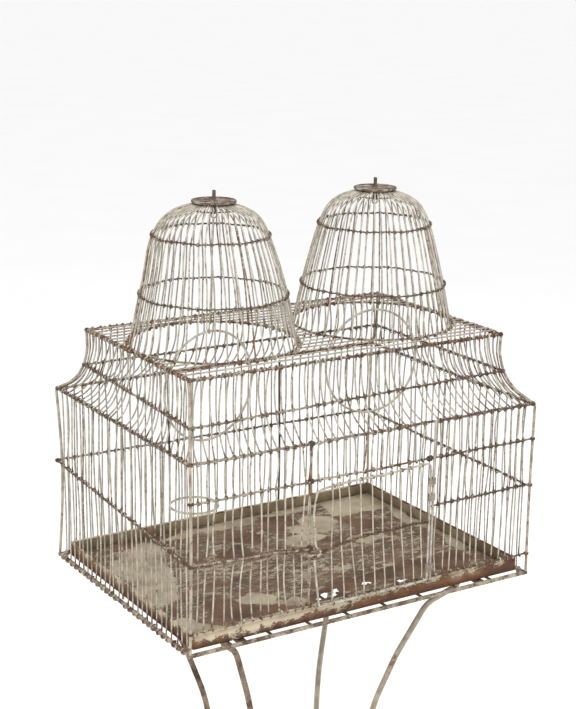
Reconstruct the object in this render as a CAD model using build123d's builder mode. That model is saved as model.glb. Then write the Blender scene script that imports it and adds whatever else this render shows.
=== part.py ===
"""Two-domed wire bird cage on a four-legged iron stand.

Units are millimetres, +Z is up and the front of the cage, with the door and the tray slot,
faces -Y.  The origin is on the floor, under the middle of the whole object.
"""
from build123d import *
from collections import namedtuple
from math import cos, radians, sin, sqrt
import os

# ---------------------------------------------------------------- driving dimensions
# wire and rod diameters
BAR_D = 2.2             # cage bars, deck wires and dome bars
RAIL_D = 2.8            # thin rails tied across the bars
FRAME_D = 3.6           # waist and top frames
BOTTOM_D = 6.0          # bottom frame
POST_D = 4.0            # corner posts
DOOR_POST_D = 3.4       # posts beside the door and in the middle of the walls
DOOR_D = 3.2            # outline of the door
LEG_D = 8.6             # stand legs
TIE_GAP = 0.5           # air between crossing wires, where the binding wire goes

# cage body, measured between the wall planes in which the rails lie
LENGTH = 560.0
DEPTH = 406.0
HALF_LENGTH = LENGTH / 2
HALF_DEPTH = DEPTH / 2
BASE_Z = 760.0          # centre of the bottom frame above the floor
SILL_Z = BASE_Z + 30.5
LINTEL_Z = BASE_Z + 207.0
WAIST_Z = BASE_Z + 259.0
TOP_Z = BASE_Z + 354.0

# door, hung in front of the wall plane so that it opens outwards
HINGE_X = 101.0
LATCH_X = -98.0
DOOR_LEFT = -93.0
DOOR_RIGHT = 94.5
DOOR_BOTTOM = BASE_Z + 27.4
DOOR_TOP = BASE_Z + 198.5
DOOR_CORNER_R = 11.0
DOOR_OUT = 6.0
HINGE_OUT = 3.8
DOOR_BAR_COUNT = 10
COIL_R = 3.4            # outer radius of the wire coils that hang the door

# the cage stands a little behind the origin, which is centred on the whole object
RAIL_REACH = 5.4        # how far the tied-on middle rails stand out past the corners
CAGE_Y = (DOOR_OUT + COIL_R - RAIL_REACH) / 2
FRONT_Y = CAGE_Y - HALF_DEPTH
DOOR_Y = FRONT_Y - DOOR_OUT
HINGE_Y = FRONT_Y - HINGE_OUT

# how far each level of the wall leans in, on the long walls and on the end walls
Level = namedtuple("Level", "z long_inset end_inset")
TOP = Level(TOP_Z, 50.0, 27.0)
COVE = (
    Level(WAIST_Z, 0.0, 0.0),
    Level(WAIST_Z + 14.0, TOP.long_inset / 2, TOP.end_inset / 2),
    Level(WAIST_Z + 50.0, TOP.long_inset, TOP.end_inset),
)
COVE_RAIL_OUT = 0.9     # the cove rails lie on the slope, so they stand further out from the bars

# the bars stand just inside the rails
BARS_PER_SECTION = 13
BAR_IN = FRAME_D / 2 + BAR_D / 2 + TIE_GAP
POST_IN = FRAME_D / 2 + POST_D / 2 + TIE_GAP
MID_POST_IN = FRAME_D / 2 + DOOR_POST_D / 2 + TIE_GAP
BAR_FOOT_Z = BASE_Z + BOTTOM_D / 2
WAIST_BEND_R = 4.0
COVE_BEND_R = 40.0

# rails that were tied on by eye run slightly downhill: their height at each corner
Corners = namedtuple("Corners", "front_left front_right back_left back_right")
MIDDLE_RAIL_Z = Corners(BASE_Z + 125.0, BASE_Z + 138.0, BASE_Z + 149.0, BASE_Z + 145.0)
COVE_RAIL_Z = Corners(BASE_Z + 292.0, BASE_Z + 301.0, BASE_Z + 302.0, BASE_Z + 301.0)
MIDDLE_RAIL_AT_LATCH_Z = BASE_Z + 113.0
MIDDLE_RAIL_AT_HINGE_Z = BASE_Z + 136.5

# floor and tray
FLOOR_ROD_D = 4.0
FLOOR_ROD_Z = BASE_Z + 0.8
FLOOR_ROD_PITCH = 62.2
FLOOR_ROD_COUNT = 8
STRAP_X = 200.0
STRAP_W = 12.0
STRAP_T = 4.0
TRAY_LEFT = -273.0
TRAY_RIGHT = 268.0
TRAY_FRONT = FRONT_Y + 6.0
TRAY_BACK = CAGE_Y + 187.0
TRAY_Z = BASE_Z + 4.6
TRAY_H = 20.0
TRAY_T = 1.0
TRAY_HEM = 3.0          # folded rim round the top of the tray

# top deck and domes
DECK_ROWS = 20
DECK_Z = TOP_Z + FRAME_D / 2 + BAR_D / 2 + 0.3
DOME_Y = CAGE_Y - 6.0
DOME_BAR_COUNT = 52
DOME_RING_R = 118.5
DOME_RING_D = 3.2
DOME_RING_Z = TOP_Z + FRAME_D / 2 + DOME_RING_D / 2 + 0.4
DOME_PROFILE = (         # (radius, height) of a dome bar's corners, from the foot to the tip
    (115.2, TOP_Z + FRAME_D / 2 + 0.4),
    (102.4, BASE_Z + 424.0),
    (77.6, BASE_Z + 509.0),
    (60.0, BASE_Z + 539.0),
    (22.0, BASE_Z + 551.5),
)
DOME_BENDS = (150.0, 60.0, 30.0)
HOOP_D = 2.0
DISC_R = 31.0
DISC_Z = BASE_Z + 553.1
DISC_T = 2.4
DISC_RIM = 1.0
FINIAL_D = 5.0
FINIAL_TOP = BASE_Z + 569.0
INNER_HOOP_R = 36.0
INNER_HOOP_Z = BASE_Z + 544.2

# swings: a big wire hoop hung by a long wire from the eye under each dome's disc
EYE_Z = BASE_Z + 541.0
EYE_R = 4.0
EYE_WIRE_D = 2.4
LINK_R = 4.2
HANGER_D = 1.8
PIVOT_Z = EYE_Z - (EYE_R - EYE_WIRE_D / 2 - HANGER_D / 2 - 0.2)
HANGER_FOOT_R = 3.0
SWING_R = 78.0
SWING_D = 3.2
SWING_Z = BASE_Z + 295.5

Dome = namedtuple("Dome", "name x low_hoop_z high_hoop_z swing_x swing_turn")
DOMES = (
    Dome("left", -136.0, BASE_Z + 427.0, BASE_Z + 509.0, -143.0, 10.0),
    Dome("right", 130.0, BASE_Z + 416.5, BASE_Z + 503.5, 132.0, -3.0),
)

# cup ring tied to the bars inside the front left corner
CUP_RING_R = 31.6
CUP_RING_D = 2.8
CUP_RING_X = -HALF_LENGTH + BAR_IN + BAR_D / 2 + CUP_RING_D / 2 + 0.4 + CUP_RING_R
CUP_RING_Y = CAGE_Y - 144.0
CUP_RING_Z = BASE_Z + 181.5

# stand: each leg lies in a plane through the middle of the stand and is the same above and below
LEG_TOP_X = STRAP_X
LEG_TOP_Y = 145.0
LEG_TOP_R = sqrt(LEG_TOP_X**2 + LEG_TOP_Y**2)
LEG_TOP_Z = BASE_Z - STRAP_T / 2
LEG_MID_Z = BASE_Z / 2
LEG_BENDS = (           # (distance from the stand's axis, height above the middle, bend radius)
    (LEG_TOP_R, 356.0, 14.0),
    (203.0, 326.0, 60.0),
    (160.0, 240.0, 300.0),
    (125.0, 148.0, 250.0),
)
LEG_WAIST_R = 112.0
LEG_WAIST_BEND_R = 400.0
SOCKET_SIZE = 14.0
SOCKET_H = 9.0
PAD_R = 12.0
PAD_T = 3.0
PAD_BOSS_R = 6.5
PAD_BOSS_H = 9.0
LEG_FIT = 0.05
HOOP_STRAP_H = 14.0
HOOP_STRAP_T = 3.0
RIVET_D = 4.0
RIVET_HEAD_R = 4.0
RIVET_HEAD_H = 2.0
RIVET_FIT = 0.05

SIDES = {"front": -1, "back": 1, "left": -1, "right": 1}
LONG_SIDES = ("front", "back")
LEG_NAMES = {
    "leg_front_left": (-1, -1),
    "leg_front_right": (1, -1),
    "leg_back_left": (-1, 1),
    "leg_back_right": (1, 1),
}


# ---------------------------------------------------------------- helpers
def save(piece, name):
    """Label a finished piece and write its STEP file."""
    piece.part.label = name
    export_step(piece.part, f"parts/{name}.step")


def straight_rod(start, end, diameter):
    """A straight round rod between two points."""
    axis = Vector(*end) - Vector(*start)
    with BuildPart(Plane(origin=start, z_dir=axis)) as rod:
        Cylinder(diameter / 2, axis.length, align=(Align.CENTER, Align.CENTER, Align.MIN))
    return rod.part


def bent_wire(points, radii, diameter):
    """A round wire through the points, bent at each inner one with its radius."""
    with BuildPart() as wire:
        with BuildLine() as path:
            FilletPolyline(*points, radius=radii)
        with BuildSketch(Plane(origin=path.line @ 0, z_dir=path.line % 0)):
            Circle(diameter / 2)
        sweep()
    return wire.part


def wire_ring(centre, axis, radius, diameter):
    """A closed round ring of wire about an axis."""
    with BuildPart(Plane(origin=centre, z_dir=axis)) as ring:
        Torus(radius, diameter / 2)
    return ring.part


def level_at(z):
    """How far the walls lean in at a height: upright to the waist, then in up the cove."""
    if z <= WAIST_Z:
        return Level(z, 0.0, 0.0)
    for low, high in zip(COVE, COVE[1:]):
        if z <= high.z:
            share = (z - low.z) / (high.z - low.z)
            long_inset = low.long_inset + share * (high.long_inset - low.long_inset)
            end_inset = low.end_inset + share * (high.end_inset - low.end_inset)
            return Level(z, long_inset, end_inset)
    return Level(z, TOP.long_inset, TOP.end_inset)


def wall_point(side, along, level, inward):
    """A point of a wall: how far along it, at which level, and how far inside its plane."""
    sign = SIDES[side]
    if side in LONG_SIDES:
        fan = 1 - level.end_inset / HALF_LENGTH
        return (along * fan, CAGE_Y + sign * (HALF_DEPTH - level.long_inset - inward), level.z)
    fan = 1 - level.long_inset / HALF_DEPTH
    return (sign * (HALF_LENGTH - level.end_inset - inward), CAGE_Y + along * fan, level.z)


def wall_bar(side, along, foot_z, inward, diameter):
    """One upright that runs from its foot over the waist and up the cove to the top frame."""
    levels = (level_at(foot_z), *COVE, level_at(TOP.z + FRAME_D / 2))
    points = [wall_point(side, along, level, inward) for level in levels]
    return bent_wire(points, (WAIST_BEND_R, COVE_BEND_R, COVE_BEND_R), diameter)


def section_positions(start, end):
    """Evenly spaced bars between two posts."""
    pitch = (end - start) / (BARS_PER_SECTION + 1)
    return [start + pitch * (i + 1) for i in range(BARS_PER_SECTION)]


def rectangle_of_rods(diameter, heights, outward=0.0):
    """Four rods round the cage; the two end rods butt against the two long ones."""
    rods = []
    levels = Corners(*[level_at(z) for z in heights])
    for side, left, right in (
        ("front", levels.front_left, levels.front_right),
        ("back", levels.back_left, levels.back_right),
    ):
        reach = HALF_LENGTH + diameter / 2
        left_end = wall_point(side, -reach, left, -outward)
        right_end = wall_point(side, reach, right, -outward)
        rods.append(straight_rod(left_end, right_end, diameter))
    for side, front, back in (
        ("left", levels.front_left, levels.back_left),
        ("right", levels.front_right, levels.back_right),
    ):
        front_end = Vector(*wall_point(side, -HALF_DEPTH, front, -outward))
        back_end = Vector(*wall_point(side, HALF_DEPTH, back, -outward))
        setback = (back_end - front_end).normalized() * (diameter / 2 + 0.1)
        rods.append(straight_rod(tuple(front_end + setback), tuple(back_end - setback), diameter))
    return rods


def dome_radius(z):
    """Radius of the dome's bars at a height, measured along the straights between bends."""
    for low, high in zip(DOME_PROFILE, DOME_PROFILE[1:]):
        if z <= high[1]:
            return low[0] + (high[0] - low[0]) * (z - low[1]) / (high[1] - low[1])


def leg_point(sx, sy, radius, z):
    """A point in a leg's own upright plane."""
    return (sx * radius * LEG_TOP_X / LEG_TOP_R, sy * radius * LEG_TOP_Y / LEG_TOP_R, z)


# ---------------------------------------------------------------- stand
def make_legs():
    bends = list(LEG_BENDS) + [(LEG_WAIST_R, 0.0, LEG_WAIST_BEND_R)]
    bends += [(radius, -height, bend) for radius, height, bend in reversed(LEG_BENDS)]
    for name, (sx, sy) in LEG_NAMES.items():
        points = [leg_point(sx, sy, LEG_TOP_R, LEG_TOP_Z)]
        points += [leg_point(sx, sy, radius, LEG_MID_Z + height) for radius, height, _ in bends]
        points.append(leg_point(sx, sy, LEG_TOP_R, PAD_T))
        rivet_axis = Vector(*leg_point(sx, sy, 1.0, 0.0))
        with BuildPart() as leg:
            add(bent_wire(points, [bend for _, _, bend in bends], LEG_D))
            with BuildSketch(Plane(origin=(0, 0, LEG_MID_Z), z_dir=rivet_axis)):
                Circle(RIVET_D / 2 + RIVET_FIT)
            extrude(amount=LEG_TOP_R, mode=Mode.SUBTRACT)
        save(leg, name)


def leg_waist_radius():
    """Distance from the stand's axis to the middle of a leg at mid height, inside its bend."""
    rise = LEG_BENDS[-1][1]
    lean = LEG_BENDS[-1][0] - LEG_WAIST_R
    return LEG_WAIST_R + LEG_WAIST_BEND_R * (sqrt(rise**2 + lean**2) / rise - 1)


def make_leg_hoop():
    outer = leg_waist_radius() - LEG_D / 2 - 0.1
    inner = outer - HOOP_STRAP_T
    with BuildPart() as hoop:
        with BuildSketch(Plane.XY.offset(LEG_MID_Z - HOOP_STRAP_H / 2)):
            Circle(outer)
            Circle(inner, mode=Mode.SUBTRACT)
        extrude(amount=HOOP_STRAP_H)
        for sx, sy in LEG_NAMES.values():
            with BuildSketch(Plane(origin=(0, 0, LEG_MID_Z), z_dir=leg_point(sx, sy, 1.0, 0.0))):
                Circle(RIVET_D / 2 + RIVET_FIT)
            extrude(amount=LEG_TOP_R, mode=Mode.SUBTRACT)
    save(hoop, "leg_hoop")

    shank = HOOP_STRAP_T + LEG_D + 0.4
    with BuildPart() as rivets:
        for sx, sy in LEG_NAMES.values():
            start = leg_point(sx, sy, inner - 0.3, LEG_MID_Z)
            axis = Plane(origin=start, z_dir=leg_point(sx, sy, 1.0, 0.0))
            with BuildSketch(axis):
                Circle(RIVET_D / 2)
            extrude(amount=shank + 0.3)
            with BuildSketch(axis.offset(-RIVET_HEAD_H + 0.1)):
                Circle(RIVET_HEAD_R)
            extrude(amount=RIVET_HEAD_H, taper=-15)
            with BuildSketch(axis.offset(shank + 0.3)):
                Circle(RIVET_HEAD_R)
            extrude(amount=RIVET_HEAD_H, taper=15)
    save(rivets, "hoop_rivets")


def make_sockets_and_pads():
    with BuildPart() as sockets:
        for sx, sy in LEG_NAMES.values():
            place = Plane(origin=leg_point(sx, sy, LEG_TOP_R, LEG_TOP_Z - SOCKET_H))
            with BuildSketch(place):
                RectangleRounded(SOCKET_SIZE, SOCKET_SIZE, 1.5)
                Circle(LEG_D / 2 + LEG_FIT, mode=Mode.SUBTRACT)
            extrude(amount=SOCKET_H)
    save(sockets, "leg_sockets")

    with BuildPart() as pads:
        for sx, sy in LEG_NAMES.values():
            place = Plane(origin=leg_point(sx, sy, LEG_TOP_R, 0.0))
            with BuildSketch(place):
                Circle(PAD_R)
            extrude(amount=PAD_T)
            with BuildSketch(place.offset(PAD_T)):
                Circle(PAD_BOSS_R)
                Circle(LEG_D / 2 + LEG_FIT, mode=Mode.SUBTRACT)
            extrude(amount=PAD_BOSS_H)
    save(pads, "foot_pads")


# ---------------------------------------------------------------- floor of the cage
def make_floor():
    with BuildPart() as bottom_rails:
        add(rectangle_of_rods(BOTTOM_D, [BASE_Z] * 4))
    save(bottom_rails, "bottom_rails")

    reach = HALF_DEPTH - BOTTOM_D / 2 - 0.1
    with BuildPart() as straps:
        for x in (-STRAP_X, STRAP_X):
            with Locations((x, CAGE_Y, BASE_Z)):
                Box(STRAP_W, 2 * reach, STRAP_T)
    save(straps, "floor_straps")

    with BuildPart() as floor_rods:
        for i in range(FLOOR_ROD_COUNT):
            x = (i - (FLOOR_ROD_COUNT - 1) / 2) * FLOOR_ROD_PITCH
            add(straight_rod((x, CAGE_Y - reach, FLOOR_ROD_Z), (x, CAGE_Y + reach, FLOOR_ROD_Z), FLOOR_ROD_D))
    save(floor_rods, "floor_rods")


# ---------------------------------------------------------------- posts and rails
def make_posts():
    with BuildPart() as corner_posts:
        for side in LONG_SIDES:
            for sign in (-1, 1):
                points = []
                for level in (level_at(BAR_FOOT_Z + 0.3), *COVE, level_at(TOP.z - FRAME_D / 2 - 0.4)):
                    _, y, z = wall_point(side, 0.0, level, POST_IN)
                    points.append((sign * (HALF_LENGTH - level.end_inset - POST_IN), y, z))
                add(bent_wire(points, (WAIST_BEND_R + POST_D / 2, COVE_BEND_R, COVE_BEND_R), POST_D))
    save(corner_posts, "corner_posts")

    with BuildPart() as end_posts:
        for side in ("left", "right"):
            foot = wall_point(side, 0.0, Level(BAR_FOOT_Z, 0.0, 0.0), MID_POST_IN)
            head = wall_point(side, 0.0, Level(WAIST_Z - 1.0, 0.0, 0.0), MID_POST_IN)
            add(straight_rod(foot, head, DOOR_POST_D))
    save(end_posts, "end_posts")

    with BuildPart() as back_posts:
        for x in (LATCH_X, HINGE_X):
            foot = wall_point("back", x, Level(BAR_FOOT_Z, 0.0, 0.0), MID_POST_IN)
            head = wall_point("back", x, Level(WAIST_Z - 1.0, 0.0, 0.0), MID_POST_IN)
            add(straight_rod(foot, head, DOOR_POST_D))
    save(back_posts, "back_posts")

    twin_d = RAIL_D - 0.2
    with BuildPart() as latch_posts:
        for x in (LATCH_X - twin_d / 2 - 0.2, LATCH_X + twin_d / 2 + 0.2):
            y = FRONT_Y + FRAME_D / 2 + twin_d / 2 + TIE_GAP
            add(straight_rod((x, y, SILL_Z - 2.0), (x, y, WAIST_Z - 1.0), twin_d))
    save(latch_posts, "latch_posts")

    with BuildPart() as hinge_post:
        add(straight_rod((HINGE_X, HINGE_Y, SILL_Z - 3.0), (HINGE_X, HINGE_Y, WAIST_Z + 3.0), DOOR_POST_D))
    save(hinge_post, "hinge_post")


def make_rails():
    for name, rods in (
        ("waist_rails", rectangle_of_rods(FRAME_D, [WAIST_Z] * 4)),
        ("cove_rails", rectangle_of_rods(RAIL_D, COVE_RAIL_Z, COVE_RAIL_OUT)),
        ("top_rails", rectangle_of_rods(FRAME_D, [TOP_Z] * 4)),
    ):
        with BuildPart() as frame:
            add(rods)
        save(frame, name)

    reach = HALF_LENGTH - 1.0
    with BuildPart() as sill_rail:
        add(straight_rod((-reach, FRONT_Y, SILL_Z), (reach, FRONT_Y, SILL_Z), RAIL_D))
    save(sill_rail, "sill_rail")

    with BuildPart() as lintel_rail:
        add(straight_rod((-reach, FRONT_Y, LINTEL_Z), (reach, FRONT_Y, LINTEL_Z), RAIL_D))
    save(lintel_rail, "lintel_rail")

    end_x = HALF_LENGTH + RAIL_REACH
    front_end_y = FRONT_Y - RAIL_REACH
    back_y = CAGE_Y + HALF_DEPTH
    back_end_y = back_y + RAIL_REACH
    drop = RAIL_D + TIE_GAP
    heights = MIDDLE_RAIL_Z
    runs = (
        ((-end_x, FRONT_Y, heights.front_left), (LATCH_X - 1.0, FRONT_Y, MIDDLE_RAIL_AT_LATCH_Z)),
        ((HINGE_X + 1.0, FRONT_Y, MIDDLE_RAIL_AT_HINGE_Z), (end_x, FRONT_Y, heights.front_right)),
        ((-end_x, back_y, heights.back_left), (end_x, back_y, heights.back_right)),
        (
            (-HALF_LENGTH, front_end_y, heights.front_left - drop),
            (-HALF_LENGTH, back_end_y, heights.back_left - drop),
        ),
        (
            (HALF_LENGTH, front_end_y, heights.front_right - drop),
            (HALF_LENGTH, back_end_y, heights.back_right - drop),
        ),
    )
    with BuildPart() as middle_rails:
        add([straight_rod(start, end, RAIL_D) for start, end in runs])
    save(middle_rails, "middle_rails")


# ---------------------------------------------------------------- wall bars
def make_wall_bars():
    left_section = section_positions(-HALF_LENGTH, LATCH_X)
    middle_section = section_positions(LATCH_X, HINGE_X)
    right_section = section_positions(HINGE_X, HALF_LENGTH)
    end_sections = section_positions(-HALF_DEPTH, 0.0) + section_positions(0.0, HALF_DEPTH)
    above_sill = SILL_Z - RAIL_D / 2 - 0.6
    above_lintel = LINTEL_Z - RAIL_D / 2 - 0.6
    for name, side, positions, foot_z in (
        ("front_bars_left", "front", left_section, above_sill),
        ("front_bars_right", "front", right_section, above_sill),
        ("bars_above_door", "front", middle_section, above_lintel),
        ("back_bars", "back", left_section + middle_section + right_section, BAR_FOOT_Z),
        ("left_bars", "left", end_sections, BAR_FOOT_Z),
        ("right_bars", "right", end_sections, BAR_FOOT_Z),
    ):
        with BuildPart() as bars:
            add([wall_bar(side, along, foot_z, BAR_IN, BAR_D) for along in positions])
        save(bars, name)


# ---------------------------------------------------------------- deck between the domes
def deck_spans(y):
    """The stretches of one deck wire that stop short of both dome rings."""
    edge = HALF_LENGTH - TOP.end_inset + FRAME_D / 2
    spans = [(-edge, edge)]
    for dome in DOMES:
        offset = max(0.0, abs(y - DOME_Y) - BAR_D / 2)
        reach_squared = (DOME_RING_R + DOME_RING_D / 2 + 0.4) ** 2 - offset**2
        if reach_squared <= 0:
            continue
        reach = sqrt(reach_squared)
        cut = []
        for start, end in spans:
            cut.append((start, min(end, dome.x - reach)))
            cut.append((max(start, dome.x + reach), end))
        spans = cut
    return [(start, end) for start, end in spans if end - start > 4 * BAR_D]


def make_deck():
    half_width = HALF_DEPTH - TOP.long_inset
    with BuildPart() as deck_wires:
        for row in range(1, DECK_ROWS):
            y = CAGE_Y - half_width + row * 2 * half_width / DECK_ROWS
            for start, end in deck_spans(y):
                add(straight_rod((start, y, DECK_Z), (end, y, DECK_Z), BAR_D))
    save(deck_wires, "deck_wires")


# ---------------------------------------------------------------- domes and swings
def make_dome(dome):
    axis = Plane(origin=(dome.x, DOME_Y, 0))
    outside = BAR_D / 2 + HOOP_D / 2 + TIE_GAP

    for name, z, radius, diameter in (
        ("ring", DOME_RING_Z, DOME_RING_R, DOME_RING_D),
        ("low_hoop", dome.low_hoop_z, dome_radius(dome.low_hoop_z) + outside, HOOP_D),
        ("high_hoop", dome.high_hoop_z, dome_radius(dome.high_hoop_z) + outside, HOOP_D),
        ("inner_hoop", INNER_HOOP_Z, INNER_HOOP_R, HOOP_D),
    ):
        with BuildPart() as hoop:
            add(wire_ring((dome.x, DOME_Y, z), (0, 0, 1), radius, diameter))
        save(hoop, f"{dome.name}_dome_{name}")

    bar = bent_wire([(radius, 0.0, z) for radius, z in DOME_PROFILE], DOME_BENDS, BAR_D)
    with BuildPart() as bars:
        with Locations(axis):
            with PolarLocations(0, DOME_BAR_COUNT):
                add(bar)
    save(bars, f"{dome.name}_dome_bars")

    with BuildPart() as disc:
        with BuildSketch(axis.offset(DISC_Z)):
            Circle(DISC_R)
            Circle(FINIAL_D / 2 + 0.2, mode=Mode.SUBTRACT)
        extrude(amount=DISC_T)
        with BuildSketch(axis.offset(DISC_Z + DISC_T / 2)):
            Circle(DISC_R - 2 * DISC_RIM)
            Circle(FINIAL_D / 2 + 2.5, mode=Mode.SUBTRACT)
        extrude(amount=DISC_T / 2, mode=Mode.SUBTRACT)
        fillet(disc.edges().filter_by(GeomType.CIRCLE).sort_by(SortBy.RADIUS)[-1], 0.5)
    save(disc, f"{dome.name}_dome_disc")

    shank_bottom = EYE_Z + EYE_R
    with BuildPart() as finial:
        with BuildSketch(axis.offset(shank_bottom)):
            Circle(FINIAL_D / 2)
        extrude(amount=FINIAL_TOP - shank_bottom)
        chamfer(finial.edges().sort_by(Axis.Z)[-1], 0.6)
        add(wire_ring((dome.x, DOME_Y, EYE_Z), (1, 0, 0), EYE_R, EYE_WIRE_D))
    save(finial, f"{dome.name}_finial_eye")


def make_swing(dome):
    link_z = PIVOT_Z - LINK_R
    foot_z = SWING_Z + SWING_R
    wire_top = (dome.x, DOME_Y, link_z - LINK_R)
    wire_foot = (dome.swing_x, DOME_Y, foot_z + HANGER_FOOT_R)
    with BuildPart() as hanger:
        add(wire_ring((dome.x, DOME_Y, link_z), (0, 1, 0), LINK_R, HANGER_D))
        add(straight_rod(wire_top, wire_foot, HANGER_D))
        add(wire_ring((dome.swing_x, DOME_Y, foot_z), (1, 0, 0), HANGER_FOOT_R, HANGER_D))
    save(hanger, f"{dome.name}_swing_hanger")

    turn = radians(dome.swing_turn)
    with BuildPart() as hoop:
        add(wire_ring((dome.swing_x, DOME_Y, SWING_Z), (-sin(turn), cos(turn), 0), SWING_R, SWING_D))
    save(hoop, f"{dome.name}_swing_hoop")


# ---------------------------------------------------------------- door, cup ring and tray
def make_door():
    middle_x = (DOOR_LEFT + DOOR_RIGHT) / 2
    middle_z = (DOOR_BOTTOM + DOOR_TOP) / 2
    width = DOOR_RIGHT - DOOR_LEFT
    height = DOOR_TOP - DOOR_BOTTOM
    face = Plane(origin=(middle_x, DOOR_Y, middle_z), x_dir=(1, 0, 0), z_dir=(0, -1, 0))
    with BuildPart() as door_frame:
        with BuildSketch(face) as outline:
            RectangleRounded(width, height, DOOR_CORNER_R)
        path = outline.sketch.face().outer_wire()
        with BuildSketch(Plane(origin=path @ 0, z_dir=path % 0)) as section:
            Circle(DOOR_D / 2)
        sweep(sections=section.sketch, path=path, mode=Mode.REPLACE)
    save(door_frame, "door_frame")

    bar_y = DOOR_Y + DOOR_D / 2 + BAR_D / 2 + 0.3
    pitch = width / (DOOR_BAR_COUNT + 1)
    with BuildPart() as door_bars:
        for i in range(DOOR_BAR_COUNT):
            x = DOOR_LEFT + pitch * (i + 1)
            foot_z = DOOR_BOTTOM - DOOR_D / 2
            head_z = DOOR_TOP + DOOR_D / 2
            add(straight_rod((x, bar_y, foot_z), (x, bar_y, head_z), BAR_D))
    save(door_bars, "door_bars")

    setback = DOOR_D / 2 + 0.1
    rail_left = (DOOR_LEFT + setback, DOOR_Y, BASE_Z + 106.0)
    rail_right = (DOOR_RIGHT - setback, DOOR_Y, BASE_Z + 115.0)
    with BuildPart() as door_mid_rail:
        add(straight_rod(rail_left, rail_right, RAIL_D - 0.4))
    save(door_mid_rail, "door_mid_rail")

    catch_z = BASE_Z + 105.5
    catch_path = (
        (DOOR_LEFT - setback, DOOR_Y, catch_z),
        (LATCH_X - 6.0, DOOR_Y, catch_z),
        (LATCH_X - 6.0, FRONT_Y + 3.0, catch_z),
    )
    with BuildPart() as door_catch:
        add(bent_wire(catch_path, (2.5,), BAR_D))
    save(door_catch, "door_catch")

    coil_length = 10.0
    stile_offset = Vector(DOOR_RIGHT - HINGE_X, DOOR_Y - HINGE_Y)
    with BuildPart() as hinge_coils:
        for z in (BASE_Z + 42.0, BASE_Z + 147.0, BASE_Z + 170.0):
            with BuildSketch(Plane(origin=(HINGE_X, HINGE_Y, z))):
                SlotCenterPoint(stile_offset / 2, stile_offset, 2 * COIL_R)
                Circle(DOOR_POST_D / 2 + 0.25, mode=Mode.SUBTRACT)
                with Locations(stile_offset):
                    Circle(DOOR_D / 2 + 0.05, mode=Mode.SUBTRACT)
            extrude(amount=coil_length)
    save(hinge_coils, "door_hinge_coils")


def make_cup_ring():
    with BuildPart() as cup_ring:
        add(wire_ring((CUP_RING_X, CUP_RING_Y, CUP_RING_Z), (0, 0, 1), CUP_RING_R, CUP_RING_D))
    save(cup_ring, "cup_ring")


def make_tray():
    middle_x = (TRAY_LEFT + TRAY_RIGHT) / 2
    middle_y = (TRAY_FRONT + TRAY_BACK) / 2
    width = TRAY_RIGHT - TRAY_LEFT
    depth = TRAY_BACK - TRAY_FRONT
    floor = Plane(origin=(middle_x, middle_y, TRAY_Z))
    wall = 2 * TRAY_T
    hem = 2 * (TRAY_T + 0.8)
    with BuildPart() as tray:
        with BuildSketch(floor):
            Rectangle(width, depth)
        extrude(amount=TRAY_H)
        with BuildSketch(floor.offset(TRAY_T)):
            Rectangle(width - wall, depth - wall)
        extrude(amount=TRAY_H, mode=Mode.SUBTRACT)
        with BuildSketch(floor.offset(TRAY_H - TRAY_HEM)):
            Rectangle(width, depth)
            Rectangle(width - hem, depth - hem, mode=Mode.SUBTRACT)
        extrude(amount=TRAY_HEM)
    save(tray, "tray")


os.makedirs("parts", exist_ok=True)
make_legs()
make_leg_hoop()
make_sockets_and_pads()
make_floor()
make_posts()
make_rails()
make_wall_bars()
make_deck()
for dome_spec in DOMES:
    make_dome(dome_spec)
    make_swing(dome_spec)
make_door()
make_cup_ring()
make_tray()
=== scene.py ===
"""Looks for the two-domed wire bird cage on its iron stand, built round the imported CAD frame.

Lengths inside this script are millimetres until a mesh is made; the mesh is in metres.
"""
import math
import random

import bpy
import numpy as np
from mathutils import Matrix, Vector


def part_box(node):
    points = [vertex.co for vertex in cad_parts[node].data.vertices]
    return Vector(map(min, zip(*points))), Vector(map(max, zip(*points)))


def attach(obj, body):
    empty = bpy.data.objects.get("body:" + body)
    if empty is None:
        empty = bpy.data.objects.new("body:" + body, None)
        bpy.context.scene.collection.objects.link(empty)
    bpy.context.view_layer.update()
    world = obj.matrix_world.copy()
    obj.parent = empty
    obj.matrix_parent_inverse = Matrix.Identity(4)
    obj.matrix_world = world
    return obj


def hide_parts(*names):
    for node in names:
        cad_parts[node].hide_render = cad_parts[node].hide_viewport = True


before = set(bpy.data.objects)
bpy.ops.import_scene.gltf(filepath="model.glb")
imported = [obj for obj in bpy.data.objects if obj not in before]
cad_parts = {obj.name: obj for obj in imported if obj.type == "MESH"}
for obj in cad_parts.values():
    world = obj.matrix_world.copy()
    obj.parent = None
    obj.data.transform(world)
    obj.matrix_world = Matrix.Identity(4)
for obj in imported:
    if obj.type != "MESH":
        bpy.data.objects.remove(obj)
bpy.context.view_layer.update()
rng = random.Random(7)
MM = 0.001
FULL_TURN = 2 * math.pi


# ---------------------------------------------------------------- sizes from the CAD frame
def box_mm(node):
    low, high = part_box(node)
    return np.array(low) / MM, np.array(high) / MM


def middle_z(node):
    low, high = box_mm(node)
    return (low[2] + high[2]) / 2


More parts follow.
